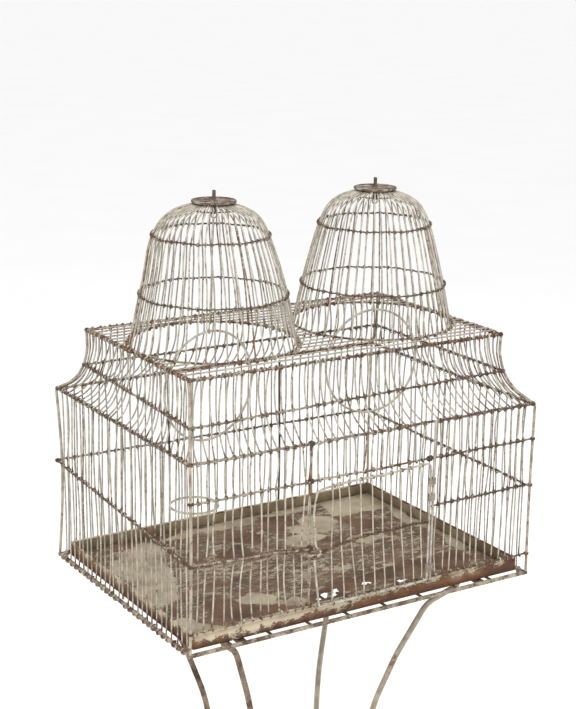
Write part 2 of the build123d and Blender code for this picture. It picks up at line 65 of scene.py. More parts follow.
bottom_low, bottom_high = box_mm("bottom_rails")
BOTTOM_R = (bottom_high[2] - bottom_low[2]) / 2
HALF_LENGTH = (bottom_high[0] - bottom_low[0]) / 2 - BOTTOM_R
HALF_DEPTH = (bottom_high[1] - bottom_low[1]) / 2 - BOTTOM_R
CAGE_Y = (bottom_low[1] + bottom_high[1]) / 2
FRONT_Y = CAGE_Y - HALF_DEPTH
BASE_Z = (bottom_low[2] + bottom_high[2]) / 2
SILL_Z = middle_z("sill_rail")
LINTEL_Z = middle_z("lintel_rail")
WAIST_Z = middle_z("waist_rails")
TOP_Z = middle_z("top_rails")
waist_low, _ = box_mm("waist_rails")
top_low, _ = box_mm("top_rails")
TOP_LONG_INSET = top_low[1] - waist_low[1]
TOP_END_INSET = top_low[0] - waist_low[0]

# wire radii; the binding wire is the finest
BAR_R = 1.1
RAIL_R = 1.4
FRAME_R = 1.8
POST_R = 2.0
MID_POST_R = 1.7
BIND_R = 0.38
HINGE_X = 101.0
LATCH_X = -98.0
HINGE_Y = FRONT_Y - 3.8
DOOR_Y = FRONT_Y - 5.6
DOOR_WIRE_R = 1.5
DOOR_BAR_R = 1.0
HOOP_WIRE_R = 1.0
RING_WIRE_R = 1.6
BARS_PER_SECTION = 13
RIGHT, BACK, UP = np.eye(3)


# ---------------------------------------------------------------- wire meshes
def across(tangents):
    """Directions square to a path that turn with it and don't twist."""
    first = tangents[0]
    seed = np.array((0.0, 0.0, 1.0)) if abs(first[2]) < 0.9 else np.array((1.0, 0.0, 0.0))
    normal = np.cross(first, seed)
    normal /= np.linalg.norm(normal)
    nx, ny, nz = (float(value) for value in normal)
    found = []
    for tx, ty, tz in tangents.tolist():
        dot = nx * tx + ny * ty + nz * tz
        nx, ny, nz = nx - dot * tx, ny - dot * ty, nz - dot * tz
        length = math.sqrt(nx * nx + ny * ny + nz * nz)
        nx, ny, nz = nx / length, ny / length, nz / length
        found.append((nx, ny, nz))
    return np.array(found)


class Wires:
    """Round wires gathered into one mesh, with a rust and a tone value at every point."""

    def __init__(self):
        self.coords, self.quads, self.caps, self.rust, self.tone = [], [], [], [], []
        self.total = 0

    def tube(self, path, radius, sides=8, rust=0.0, tone=0.0, closed=False):
        path = np.asarray(path, float)
        tangents = np.roll(path, -1, 0) - np.roll(path, 1, 0) if closed else np.gradient(path, axis=0)
        tangents /= np.linalg.norm(tangents, axis=1)[:, None]
        radii = np.broadcast_to(np.asarray(radius, float), (len(path),))
        rust = np.broadcast_to(np.asarray(rust, float), (len(path),))
        if not closed:      # blunt ends: one more, narrower ring
            reach, narrow = 0.45, 0.55
            start = path[0] - tangents[0] * radii[0] * reach
            end = path[-1] + tangents[-1] * radii[-1] * reach
            path = np.vstack((start, path, end))
            tangents = np.vstack((tangents[:1], tangents, tangents[-1:]))
            radii = np.concatenate((radii[:1] * narrow, radii, radii[-1:] * narrow))
            rust = np.concatenate((rust[:1], rust, rust[-1:]))
        normals = across(tangents)
        count = len(path)
        if closed:
            back = np.cross(tangents[0], normals[0])
            twist = math.atan2(float(normals[-1] @ back), float(normals[-1] @ normals[0]))
            undo = -twist * np.arange(count) / count
            sideways = np.cross(tangents, normals)
            normals = normals * np.cos(undo)[:, None] + sideways * np.sin(undo)[:, None]
        sideways = np.cross(tangents, normals)
        turn = (np.arange(sides) * FULL_TURN / sides)[None, :, None]
        ring = normals[:, None] * np.cos(turn) + sideways[:, None] * np.sin(turn)
        self.coords.append((path[:, None] + ring * radii[:, None, None]).reshape(-1, 3))
        rows = np.arange(count if closed else count - 1)[:, None] * sides
        here = np.arange(sides)[None, :]
        ahead = (here + 1) % sides
        after = (rows + sides) % (count * sides)
        quads = np.stack((rows + here, rows + ahead, after + ahead, after + here), axis=2).reshape(-1, 4)
        self.quads.append(quads + self.total)
        if not closed:
            self.caps.append([self.total + sides - 1 - i for i in range(sides)])
            last = self.total + (count - 1) * sides
            self.caps.append([last + i for i in range(sides)])
        self.rust.append(np.repeat(rust, sides))
        self.tone.append(np.full(count * sides, tone))
        self.total += count * sides

    def build(self, name, body, material, replaces=None):
        """Make the mesh. It stands for the CAD node of its own name unless replaces says which."""
        replaces = (name,) if replaces is None else replaces
        faces = np.vstack(self.quads).tolist() + self.caps
        obj = mesh_object(name, np.vstack(self.coords), faces)
        set_attribute(obj, "rust", np.concatenate(self.rust))
        set_attribute(obj, "tone", np.concatenate(self.tone))
        place(obj, body, material, replaces)


def mesh_object(name, coords_mm, faces):
    """A smooth-shaded mesh, given in millimetres."""
    mesh = bpy.data.meshes.new(name)
    mesh.from_pydata((np.asarray(coords_mm) * MM).tolist(), [], faces)
    mesh.polygons.foreach_set("use_smooth", [True] * len(mesh.polygons))
    mesh.update()
    obj = bpy.data.objects.new(name, mesh)
    bpy.context.scene.collection.objects.link(obj)
    return obj


def set_attribute(obj, name, values):
    layer = obj.data.attributes.new(name, "FLOAT", "POINT")
    layer.data.foreach_set("value", np.asarray(values, dtype=np.float32))


def place(obj, body, material, replaces=()):
    """Give a piece its material and its body, and hide the CAD nodes that it stands for."""
    obj.data.materials.append(material)
    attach(obj, body)
    if replaces:
        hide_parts(*replaces)


# ---------------------------------------------------------------- materials
def srgb(red, green, blue):
    """A colour in display values from 0 to 255, as linear RGBA."""
    def linear(value):
        value /= 255
        return value / 12.92 if value <= 0.04045 else ((value + 0.055) / 1.055) ** 2.4
    return (linear(red), linear(green), linear(blue), 1.0)


class Shader:
    """One procedural material: short calls that add a node and give back its output."""

    def __init__(self, name):
        self.material = bpy.data.materials.new(name)
        self.material.use_nodes = True
        self.nodes = self.material.node_tree.nodes
        self.links = self.material.node_tree.links
        self.surface = self.nodes["Principled BSDF"]
        self.coords = self.nodes.new("ShaderNodeTexCoord").outputs["Object"]

    def feed(self, socket, value):
        if isinstance(value, bpy.types.NodeSocket):
            self.links.new(value, socket)
        else:
            socket.default_value = value

    def node(self, kind, inputs, **settings):
        """A new node; its inputs are numbers, colours or other nodes' outputs."""
        found = self.nodes.new("ShaderNode" + kind)
        for key, value in settings.items():
            setattr(found, key, value)
        for socket, value in inputs.items():
            self.feed(found.inputs[socket], value)
        return found

    def noise(self, scale, detail=4.0, roughness=0.6, stretch=None, distortion=0.0):
        vector = self.coords
        if stretch:
            vector = self.node("Mapping", {"Scale": stretch, "Vector": vector}).outputs["Vector"]
        inputs = {"Vector": vector, "Scale": scale, "Detail": detail}
        inputs.update({"Roughness": roughness, "Distortion": distortion})
        return self.node("TexNoise", inputs).outputs[0]

    def attribute(self, name):
        return self.node("Attribute", {}, attribute_name=name).outputs["Fac"]

    def math(self, operation, *values):
        return self.node("Math", dict(enumerate(values)), operation=operation).outputs[0]

    def step(self, value, low, high, start=0.0, end=1.0):
        inputs = {"Value": value, "From Min": low, "From Max": high, "To Min": start, "To Max": end}
        return self.node("MapRange", inputs, interpolation_type="SMOOTHSTEP").outputs["Result"]

    def mix(self, share, first, second, blend="MIX"):
        inputs = {"Factor": share, 6: first, 7: second}
        return self.node("Mix", inputs, data_type="RGBA", blend_type=blend).outputs[2]

    def finish(self, colour, roughness, height=None, bump=0.3, depth=0.0004, specular=0.35):
        self.feed(self.surface.inputs["Base Color"], colour)
        self.feed(self.surface.inputs["Roughness"], roughness)
        self.surface.inputs["Specular IOR Level"].default_value = specular
        if height is not None:
            bumps = self.node("Bump", {"Strength": bump, "Distance": depth, "Height": height})
            self.links.new(bumps.outputs["Normal"], self.surface.inputs["Normal"])
        return self.material


def worn_paint(name, paint, rust, worn, patch=90.0, speck=650.0):
    """Old paint in two tones over rust in three: worn is how much of the paint has gone."""
    shade = Shader(name)
    patches = shade.noise(patch, detail=5.0, roughness=0.65)
    specks = shade.noise(speck, detail=4.0, roughness=0.7)
    hues = shade.noise(patch * 0.55 + 11.0, detail=3.0)
    grain = shade.noise(speck * 1.7, detail=3.0)
    gone = shade.math("MULTIPLY_ADD", patches, 0.65, shade.math("MULTIPLY", specks, 0.35))
    gone = shade.math("MULTIPLY_ADD", shade.attribute("rust"), 0.30, gone)
    level = 0.72 - 0.42 * worn
    mask = shade.step(gone, level - 0.05, level + 0.05)
    paint_colour = shade.mix(shade.step(hues, 0.35, 0.68), paint[0], paint[1])
    rust_colour = shade.mix(shade.step(grain, 0.36, 0.62), rust[0], rust[1])
    rust_colour = shade.mix(shade.step(hues, 0.50, 0.72), rust_colour, rust[2])
    colour = shade.mix(mask, paint_colour, rust_colour)
    dirt = shade.step(shade.noise(patch * 2.3, detail=4.0), 0.32, 0.62, 0.80, 1.0)
    dirt = shade.math("MULTIPLY_ADD", shade.attribute("tone"), 0.22, dirt)
    grey = shade.node("CombineColor", dict.fromkeys(range(3), dirt))
    colour = shade.mix(1.0, colour, grey.outputs[0], "MULTIPLY")
    height = shade.math("SUBTRACT", shade.math("MULTIPLY", grain, 0.5), mask)
    return shade.finish(colour, shade.step(mask, 0.0, 1.0, 0.5, 0.85), height, bump=0.35, depth=0.00025)


CREAM = (srgb(184, 178, 163), srgb(148, 141, 126))
RUSTS = (srgb(82, 58, 42), srgb(116, 78, 52), srgb(150, 96, 56))
DARK_RUSTS = (srgb(62, 49, 40), srgb(88, 68, 54), srgb(118, 88, 64))

bar_paint = worn_paint("bar_paint", CREAM, RUSTS, 0.30, patch=120.0, speck=800.0)
POST_PAINTS = (srgb(172, 164, 147), srgb(136, 127, 111))
RAIL_PAINTS = (srgb(166, 156, 138), srgb(132, 121, 104))
BINDING_PAINTS = (srgb(166, 153, 134), srgb(130, 116, 98))
FRAME_PAINTS = (srgb(160, 145, 122), srgb(130, 113, 92))
BOTTOM_PAINTS = (srgb(164, 153, 133), srgb(128, 115, 96))
DISC_PAINTS = (srgb(158, 149, 134), srgb(118, 108, 95))
LEG_PAINTS = (srgb(150, 133, 108), srgb(116, 98, 77))
PALE_PAINTS = (srgb(176, 167, 149), srgb(146, 133, 113))
post_paint = worn_paint("post_paint", POST_PAINTS, RUSTS, 0.40, patch=80.0, speck=700.0)
rail_paint = worn_paint("rail_paint", RAIL_PAINTS, DARK_RUSTS, 0.42)
binding_rust = worn_paint("binding_rust", BINDING_PAINTS, DARK_RUSTS, 0.48, patch=140.0)
frame_paint = worn_paint("frame_paint", FRAME_PAINTS, RUSTS, 0.50, patch=70.0)
bottom_paint = worn_paint("bottom_paint", BOTTOM_PAINTS, DARK_RUSTS, 0.50, patch=60.0)
dark_wire = worn_paint("dark_wire", (srgb(112, 101, 88), srgb(84, 74, 64)), DARK_RUSTS, 0.6)
hoop_wire = worn_paint("hoop_wire", (srgb(134, 121, 104), srgb(102, 89, 76)), DARK_RUSTS, 0.55)
disc_iron = worn_paint("disc_iron", DISC_PAINTS, DARK_RUSTS, 0.56, patch=60.0)
leg_rusty = worn_paint("leg_rusty", LEG_PAINTS, DARK_RUSTS, 0.46, patch=45.0, speck=420.0)
leg_pale = worn_paint("leg_pale", PALE_PAINTS, RUSTS, 0.28, patch=50.0, speck=420.0)


# ---------------------------------------------------------------- the walls' shape
# the cove's outline: heights above the waist, and the share of the inset reached there
LEAN_HEIGHTS = (0.0, 8.0, 15.0, 26.0, 36.0, 44.0, 55.0, 68.0, 80.0, 95.0)
LEAN_SHARES = (0.0, 0.30, 0.51, 0.72, 0.84, 0.91, 0.97, 1.02, 1.02, 1.0)
fine_z = np.arange(-20.0, 121.0, 1.0)
fine_lean = np.interp(fine_z, LEAN_HEIGHTS, LEAN_SHARES)
fine_lean = np.convolve(np.pad(fine_lean, 4, mode="edge"), np.ones(9) / 9, mode="valid")


def lean(z):
    """What share of the cove's inset the wall has at a height."""
    return np.interp(np.asarray(z, float) - WAIST_Z, fine_z, fine_lean)


class Wall:
    """One side of the cage: turns (along the wall, height, how far inside) into points."""

    def __init__(self, sign, long):
        self.sign, self.long = sign, long
        self.half = HALF_LENGTH if long else HALF_DEPTH
        self.along_axis = np.array((1.0, 0.0, 0.0)) if long else np.array((0.0, 1.0, 0.0))
        self.out_axis = np.array((0.0, sign, 0.0)) if long else np.array((sign, 0.0, 0.0))

    def axes(self, z):
        """The inward normal and the upward tangent of the wall's surface at the heights."""
        inset = TOP_LONG_INSET if self.long else TOP_END_INSET
        slope = (lean(np.asarray(z) + 1.0) - lean(np.asarray(z) - 1.0)) * inset / 2
        length = np.sqrt(1 + slope**2)
        up = np.array((0.0, 0.0, 1.0))
        inward = (-self.out_axis - np.multiply.outer(slope, up)) / length[..., None]
        upward = (up - np.multiply.outer(slope, self.out_axis)) / length[..., None]
        return inward, upward

    def at(self, along, z, inside=0.0):
        """Points of the wall; the places along it draw together as the cove leans in."""
        along, z, inside = np.broadcast_arrays(*(np.asarray(v, float) for v in (along, z, inside)))
        share = lean(z)
        long_inset, end_inset = share * TOP_LONG_INSET, share * TOP_END_INSET
        if self.long:
            x = along * (1 - end_inset / HALF_LENGTH)
            y = CAGE_Y + self.sign * (HALF_DEPTH - long_inset)
        else:
            x = self.sign * (HALF_LENGTH - end_inset)
            y = CAGE_Y + along * (1 - long_inset / HALF_DEPTH)
        inward, _ = self.axes(z)
        return np.stack((x, y, z), axis=-1) + inward * inside[..., None]


WALLS = {"front": Wall(-1, True), "back": Wall(1, True), "left": Wall(-1, False), "right": Wall(1, False)}


def spread(wall, z):
    """How far out along its wall a bar still stands in the cove: its fan lags behind the lean."""
    z = np.asarray(z, float)
    inset = (TOP_END_INSET if wall.long else TOP_LONG_INSET) / wall.half
    lag = 0.5 if wall.long else 0.25
    rise = np.clip((z - WAIST_Z) / (TOP_Z - WAIST_Z), 0, 1)
    fan = (1 - lag) * lean(z) + lag * rise
    return (1 - fan * inset) / (1 - lean(z) * inset)


def hook(centre, inward, upward, along, radius, sweep=300.0, pitch=2.3, heads=True):
    """The points of a wire's end curled round a rail, from the rail's inner side on."""
    turn = np.radians(np.arange(20.0, sweep + 1, 20.0))[:, None]
    lift = np.sin(turn) * (1 if heads else -1)
    return centre + radius * (np.cos(turn) * inward + lift * upward) + along * pitch * turn / FULL_TURN


def coil(wires, spine, crossings, rail_r, bar_r, turns=2, pitch=1.1, rust=None):
    """Binding wire that runs along a rail and ties it to each wire that crosses inside it.

    spine(s) gives the rail's points, inward and upward directions at the lengths s.
    """
    along, angle, grip = [], [], []
    position = 0.0
    for crossing in crossings:      # tight turns at each crossing, a few long ones between
        wraps = turns + rng.choice((-1, 0, 0, 0, 1))
        half = wraps * pitch / 2
        wraps = max(wraps, 1)
        tight = int(wraps * 10)
        start = crossing - half + rng.uniform(-0.5, 0.5)
        if along and start - along[-1] > 0.5:
            loose = 9
            low, high = along[-1], start
            for i in range(1, loose):
                along.append(low + (high - low) * i / loose)
                position += FULL_TURN / loose
                angle.append(position)
                grip.append(max(0.0, 1 - 4 * min(i, loose - i) / loose))
            position += FULL_TURN / loose
        for i in range(tight + 1):
            along.append(start + 2 * half * i / tight)
            angle.append(position)
            grip.append(1.0)
            position += FULL_TURN / 10
    along, angle, grip = np.array(along), np.array(angle), np.array(grip)
    points, inward, upward = spine(along)
    inside = (1 - np.cos(angle)) / 2
    radius = rail_r + BIND_R + grip * inside**1.3 * 2 * bar_r
    radius = radius + np.array([rng.uniform(0.0, 0.18) for _ in along])
    offset = -np.cos(angle)[:, None] * inward + np.sin(angle)[:, None] * upward
    worn = 0.1 if rust is None else rust(along) + 0.12
    wires.tube(points + radius[:, None] * offset, BIND_R, sides=5, rust=worn, tone=rng.uniform(-0.5, 0.5))


def knot(wires, centre, axis, radius, wraps=3, wire_r=0.7, length=3.0, rust=0.5):
    """A few rough turns of binding wire round a crossing."""
    axis = np.array(axis, float)
    axis /= np.linalg.norm(axis)
    steps = int(wraps * 12)
    turn = np.arange(steps + 1) * FULL_TURN / 12
    side = across(np.array([axis]))[0]
    other = np.cross(axis, side)
    swell = radius * np.array([1 + rng.uniform(-0.10, 0.10) for _ in turn])
    slide = length * (np.arange(steps + 1) / steps - 0.5)
    path = np.array(centre) + slide[:, None] * axis
    path = path + swell[:, None] * (np.cos(turn)[:, None] * side + np.sin(turn)[:, None] * other)
    wires.tube(path, wire_r, sides=6, rust=rust, tone=rng.uniform(-0.5, 0.5))


# ---------------------------------------------------------------- where bars and rails are
def section(start, end):
    """Even places for the bars between two posts."""
    pitch = (end - start) / (BARS_PER_SECTION + 1)
    return [start + pitch * (i + 1) for i in range(BARS_PER_SECTION)]


LEFT_SECTION = section(-HALF_LENGTH, LATCH_X)
MIDDLE_SECTION = section(LATCH_X, HINGE_X)
RIGHT_SECTION = section(HINGE_X, HALF_LENGTH)
END_SECTIONS = section(-HALF_DEPTH, 0.0) + section(0.0, HALF_DEPTH)
# the front left bars stand unevenly: their places on the sill and on the middle rail
SILL_BARS = (-270, -259, -247, -229, -216, -202, -186, -173, -160, -144, -132, -120, -110)
MID_BARS = (-268, -256, -243, -229, -214, -200, -187, -173, -163, -149, -136, -124, -111)

MIDDLE_CORNERS = {"front_left": 125.0, "front_right": 138.0, "back_left": 149.0, "back_right": 145.0}
COVE_CORNERS = {"front_left": 293.0, "front_right": 301.0, "back_left": 302.0, "back_right": 301.0}
SIDE_DROP = 3.3
MID_AT_LATCH = 112.0
MID_AT_HINGE = 136.5


def middle_rail_z(side, along):
    """Height of the tied-on middle rail above the bottom frame's level, along a wall."""
    if side == "front":
        xs = (-HALF_LENGTH, -200.0, -150.0, -124.0, LATCH_X, HINGE_X, HALF_LENGTH)
        zs = (MIDDLE_CORNERS["front_left"] - 1.0, 119.5, 117.0, 113.8, MID_AT_LATCH, MID_AT_HINGE,
              MIDDLE_CORNERS["front_right"])
        return BASE_Z + np.interp(along, xs, zs)
    if side == "back":
        ends = (MIDDLE_CORNERS["back_left"], MIDDLE_CORNERS["back_right"])
        return BASE_Z + np.interp(along, (-HALF_LENGTH, HALF_LENGTH), ends)
    ends = (MIDDLE_CORNERS[f"front_{side}"] - SIDE_DROP, MIDDLE_CORNERS[f"back_{side}"] - SIDE_DROP)
    return BASE_Z + np.interp(along, (-HALF_DEPTH, HALF_DEPTH), ends)


def cove_rail_z(side, along):
    """Height of the rail that is tied on in the cove, along a wall."""
    half = WALLS[side].half
    if WALLS[side].long:
        ends = (COVE_CORNERS[f"{side}_left"], COVE_CORNERS[f"{side}_right"])
    else:
        ends = (COVE_CORNERS[f"front_{side}"], COVE_CORNERS[f"back_{side}"])
    return BASE_Z + np.interp(along, (-half, half), ends)


def level_rail_z(height):
    return lambda side, along: np.full(np.shape(along), float(height))


# rail name: (CAD node, height function, radius, walls)
ALL_SIDES = ("front", "back", "left", "right")
WALL_RAILS = {
    "middle": ("middle_rails", middle_rail_z, RAIL_R, ALL_SIDES),
    "waist": ("waist_rails", level_rail_z(WAIST_Z), FRAME_R, ALL_SIDES),
    "cove": ("cove_rails", cove_rail_z, RAIL_R, ALL_SIDES),
    "top": ("top_rails", level_rail_z(TOP_Z), FRAME_R, ALL_SIDES),
    "sill": ("sill_rail", level_rail_z(SILL_Z), RAIL_R, ("front",)),
    "lintel": ("lintel_rail", level_rail_z(LINTEL_Z), RAIL_R, ("front",)),
}
crossings = {}          # (rail, side): where bars cross it


def make_bar(wires, side, place_at, foot, rails):
    """One bar of a wall, from the hook round its foot rail to the curl over the top rail."""
    wall = WALLS[side]
    foot_z, foot_r = foot
    heights, alongs, insides = [foot_z], [place_at["foot"]], [foot_r + BAR_R]
    for rail in rails:
        _, height, radius, _ = WALL_RAILS[rail]
        along = place_at.get(rail, place_at["nominal"] + rng.gauss(0.0, 1.6))
        heights.append(float(height(side, along)))
        alongs.append(along)
        insides.append(radius + BAR_R)
        if rail != "top":
            crossings.setdefault((rail, side), []).append(along * float(spread(wall, heights[-1])))
    low = np.arange(foot_z, WAIST_Z - 6.0, 13.0)
    cove = np.arange(WAIST_Z - 6.0, TOP_Z - 1.5, 3.5)
    z = np.unique(np.round(np.concatenate((low, cove, heights)), 2))
    # between one rail and the next the bar bows a little
    order = np.argsort(heights)
    heights, alongs, insides = (np.array(values)[order] for values in (heights, alongs, insides))
    stage = np.interp(z, heights, np.arange(len(heights)))
    bulge = np.sin((stage % 1.0) * math.pi)
    step = np.minimum(stage.astype(int), len(heights) - 1)
    bow_in = np.array([abs(rng.gauss(0.0, 1.0)) for _ in heights])[step]
    bow_along = np.array([rng.gauss(0.0, 1.7) for _ in heights])[step]
    bow_along = np.where(z > WAIST_Z, 0.4 * bow_along, bow_along)
    along = np.interp(z, heights, alongs) + bow_along * bulge
    inside = np.interp(z, heights, insides) + 0.2 + bow_in * bulge
    path = wall.at(along * spread(wall, z), z, inside)
    lean_in, lean_up = wall.axes(np.array([foot_z, TOP_Z]))
    flip = rng.choice((-1, 1))
    foot_hook = hook(wall.at(alongs[0], foot_z), lean_in[0], lean_up[0], wall.along_axis * flip,
                     foot_r + BAR_R, sweep=rng.uniform(250, 330), heads=False)
    head_hook = hook(wall.at(alongs[-1], TOP_Z), lean_in[1], lean_up[1], wall.along_axis * flip,
                     FRAME_R + BAR_R, sweep=rng.uniform(230, 320))
    path = np.vstack((foot_hook[::-1], path, head_hook))
    near = np.min(np.abs(path[:, 2][:, None] - np.array(heights)[None, :]), axis=1)
    rust = 0.55 * np.exp(-near / 5.0) + rng.uniform(-0.18, 0.12)
    if rng.random() < 0.06:
        rust = rust + 0.22
    wires.tube(path, BAR_R, sides=8, rust=rust, tone=rng.uniform(-0.7, 0.5))


def make_wall_bars():
    """The bars of all four walls, each with its foot rail and the rails that it passes."""
    upper = ("waist", "cove", "top")
    full = ("middle",) + upper
    sill, lintel, bottom = (SILL_Z, RAIL_R), (LINTEL_Z, RAIL_R), (BASE_Z, BOTTOM_R)
    jobs = (
        ("front_bars_left", "front", LEFT_SECTION, sill, ("middle", "lintel") + upper),
        ("front_bars_right", "front", RIGHT_SECTION, sill, ("middle", "lintel") + upper),
        ("bars_above_door", "front", MIDDLE_SECTION, lintel, upper),
        ("back_bars", "back", LEFT_SECTION + MIDDLE_SECTION + RIGHT_SECTION, bottom, full),
        ("left_bars", "left", END_SECTIONS, bottom, full),
        ("right_bars", "right", END_SECTIONS, bottom, full),
    )
    for name, side, positions, foot, rails in jobs:
        wires = Wires()
        for index, nominal in enumerate(positions):
            nominal += rng.gauss(0.0, 0.9)
            spots = {"nominal": nominal, "foot": nominal + rng.gauss(0.0, 1.2)}
            if name == "front_bars_left":
                spots["foot"], spots["middle"] = float(SILL_BARS[index]), float(MID_BARS[index])
            make_bar(wires, side, spots, foot, rails)
        wires.build(name, "cage", bar_paint)


# ---------------------------------------------------------------- posts
def corner_spot(sign_x, sign_y, z, inside):
    """Points of a corner of the cage at the heights z."""
    share = lean(z)
    x = sign_x * (HALF_LENGTH - share * TOP_END_INSET - inside)
    y = CAGE_Y + sign_y * (HALF_DEPTH - share * TOP_LONG_INSET - inside)
    return np.stack(np.broadcast_arrays(x, y, z), axis=-1)


def make_corner_posts():
    """Corner posts, which bow a little, each with a thin wire beside it up the cove."""
    wires = Wires()
    for sign_x in (-1, 1):
        for sign_y in (-1, 1):
            low = np.arange(BASE_Z + BOTTOM_R, WAIST_Z - 4.0, 14.0)
            z = np.concatenate((low, np.arange(WAIST_Z - 4.0, TOP_Z - 1.0, 3.0)))
            path = corner_spot(sign_x, sign_y, z, -1.0)
            share = np.clip((z - BASE_Z) / (WAIST_Z - BASE_Z), 0, 1)
            bow = 7.0 if (sign_x, sign_y) == (-1, 1) else 1.5
            path[:, 0] -= sign_x * bow * np.sin(share * math.pi)
            wires.tube(path, POST_R, sides=12, rust=-0.06, tone=rng.uniform(0.0, 0.4))
            hip = np.arange(WAIST_Z + 1.0, TOP_Z - 1.0, 3.0)
            wires.tube(corner_spot(sign_x, sign_y, hip, 2.2), BAR_R, rust=0.2, tone=-0.2)
    wires.build("corner_posts", "cage", post_paint)


def make_middle_posts():
    """Posts in the end walls and the back wall, from the bottom frame to the waist."""
    jobs = (
        ("end_posts", post_paint, 0.0, (("left", 0.0), ("right", 0.0))),
        ("back_posts", dark_wire, 0.25, (("back", LATCH_X), ("back", HINGE_X))),
    )
    z = np.arange(BASE_Z + BOTTOM_R, WAIST_Z, 10.0)
    sway = 1.2 * np.sin((z - BASE_Z) / (WAIST_Z - BASE_Z) * 5.0)
    for name, material, rust, spots in jobs:
        wires = Wires()
        for side, along in spots:
            path = WALLS[side].at(along + sway, z, FRAME_R + MID_POST_R + 0.3)
            wires.tube(path, MID_POST_R, sides=10, rust=rust, tone=-0.2)
            for rail in ("middle", "waist"):
                crossings.setdefault((rail, side), []).append(along)
        wires.build(name, "cage", material)


def make_door_posts():
    """A twisted pair of wires on the latch side, and the straight post that the door turns on."""
    wires = Wires()
    z = np.arange(SILL_Z - 3.0, WAIST_Z, 4.0)
    turn = (z - SILL_Z) / 46.0 * math.pi
    knot_z = BASE_Z + MID_AT_LATCH
    worn = 0.28 * np.exp(-(((z - knot_z) / 26.0) ** 2)) + 0.32 * (z > LINTEL_Z - 20.0)
    for side in (-1, 1):
        x = LATCH_X + side * 1.35 * np.cos(turn) + 0.9 * np.sin(z / 31.0)
        y = FRONT_Y + 3.6 + side * 1.0 * np.sin(turn)
        wires.tube(np.stack((x, y, z), axis=1), 1.3, rust=worn - 0.1, tone=-0.1)
    wires.build("latch_posts", "cage", post_paint)

    wires = Wires()
    z = np.arange(SILL_Z - 3.0, WAIST_Z + 3.1, 6.0)
    x = HINGE_X + 0.25 * np.sin(z / 17.0)
    wires.tube(np.stack((x, np.full_like(z, HINGE_Y), z), axis=1), MID_POST_R, sides=12)
    wires.build("hinge_post", "cage", bar_paint)
    for rail in ("middle", "waist"):
        crossings.setdefault((rail, "front"), []).append(LATCH_X)


# ---------------------------------------------------------------- rails and their binding
def rust_along(side, along):
    """How rusty the rails are: the long ones are rustier towards the cage's right end."""
    if side in ("left", "right"):
        return np.full(np.shape(along), 0.18)
    return np.interp(along, (-HALF_LENGTH, -60.0, 60.0, HALF_LENGTH), (0.0, 0.08, 0.30, 0.35))


def rail_path(side, height, start, end, wobble=0.35):
    """A rail along a wall, a little wavy."""
    along = np.arange(start, end + 0.1, 4.0)
    along[-1] = end
    z = height(side, along)
    phase = rng.uniform(0.0, FULL_TURN)
    z = z + wobble * np.sin(along / 19.0 + phase) + 0.5 * wobble * np.sin(along / 6.5 + 2 * phase)
    return WALLS[side].at(along, z)


def make_wall_rails():
    """Every rail across the bars, the wire that binds it to them, and the knots."""
    ties = Wires()
    for rail, (node, height, radius, sides) in WALL_RAILS.items():
        wires = Wires()
        for side in sides:
            wall = WALLS[side]
            reach = wall.half - 0.5
            spans = [(-reach, reach)]
            if rail == "middle" and side == "front":
                spans = [(-reach, LATCH_X + 1.5), (HINGE_X - 1.5, reach)]
            for start, end in spans:
                path = rail_path(side, height, start, end)
                worn = rust_along(side, np.linspace(start, end, len(path)))
                wires.tube(path, radius, rust=worn, tone=rng.uniform(-0.3, 0.3))
                inner = sorted(a for a in crossings.get((rail, side), []) if start < a < end)
                if rail == "top":
                    inner = sorted(crossings.get(("cove", side), []))
                if rail == "sill":
                    inner = [LATCH_X + 18.0 * i for i in range(1, 11)]
                if not inner:
                    continue

                def spine(along, wall=wall, side=side, height=height):
                    z = height(side, along)
                    inward, upward = wall.axes(z)
                    return wall.at(along, z), inward, upward

                bar_r = 0.0 if rail in ("top", "sill") else BAR_R
                coil(ties, spine, inner, radius, bar_r, rust=lambda along, side=side: rust_along(side, along))
        wires.build(f"{rail}_wires", "cage", rail_paint, (node,))
    tie_corners(ties)
    tie_front(ties)
    ties.build("binding_wires", "cage", binding_rust, ())


def tie_corners(ties):
    """Crossed knots where the rails meet the corner posts, and one wire's end standing out."""
    for sign_x, column in ((-1, "left"), (1, "right")):
        for sign_y, row in ((-1, "front"), (1, "back")):
            corner = f"{row}_{column}"
            for z, size in (
                (BASE_Z + MIDDLE_CORNERS[corner] - 1.5, 3.0),
                (WAIST_Z, 3.2),
                (BASE_Z + COVE_CORNERS[corner], 2.8),
                (TOP_Z, 3.0),
            ):
                spot = corner_spot(sign_x, sign_y, z, -0.4)
                knot(ties, spot, (sign_x * 0.1, sign_y * 0.1, 1.0), size, wraps=4, rust=0.2)
                knot(ties, spot, (sign_x, -sign_y, 0.4), size * 0.9, rust=0.2)
    # the middle rail's wire stands out in a hairpin past the back left post
    hairpin = np.array((
        (0.0, -9.0, 145.4), (-1.0, -3.0, 145.8), (-3.0, 1.0, 146.2), (-3.7, 3.2, 147.2),
        (-2.6, 3.9, 148.6), (0.5, 3.0, 149.4), (5.0, 1.2, 149.2), (10.0, 0.2, 149.0),
    )) + (-HALF_LENGTH, CAGE_Y + HALF_DEPTH, BASE_Z)
    ties.tube(hairpin, BAR_R, rust=0.1)


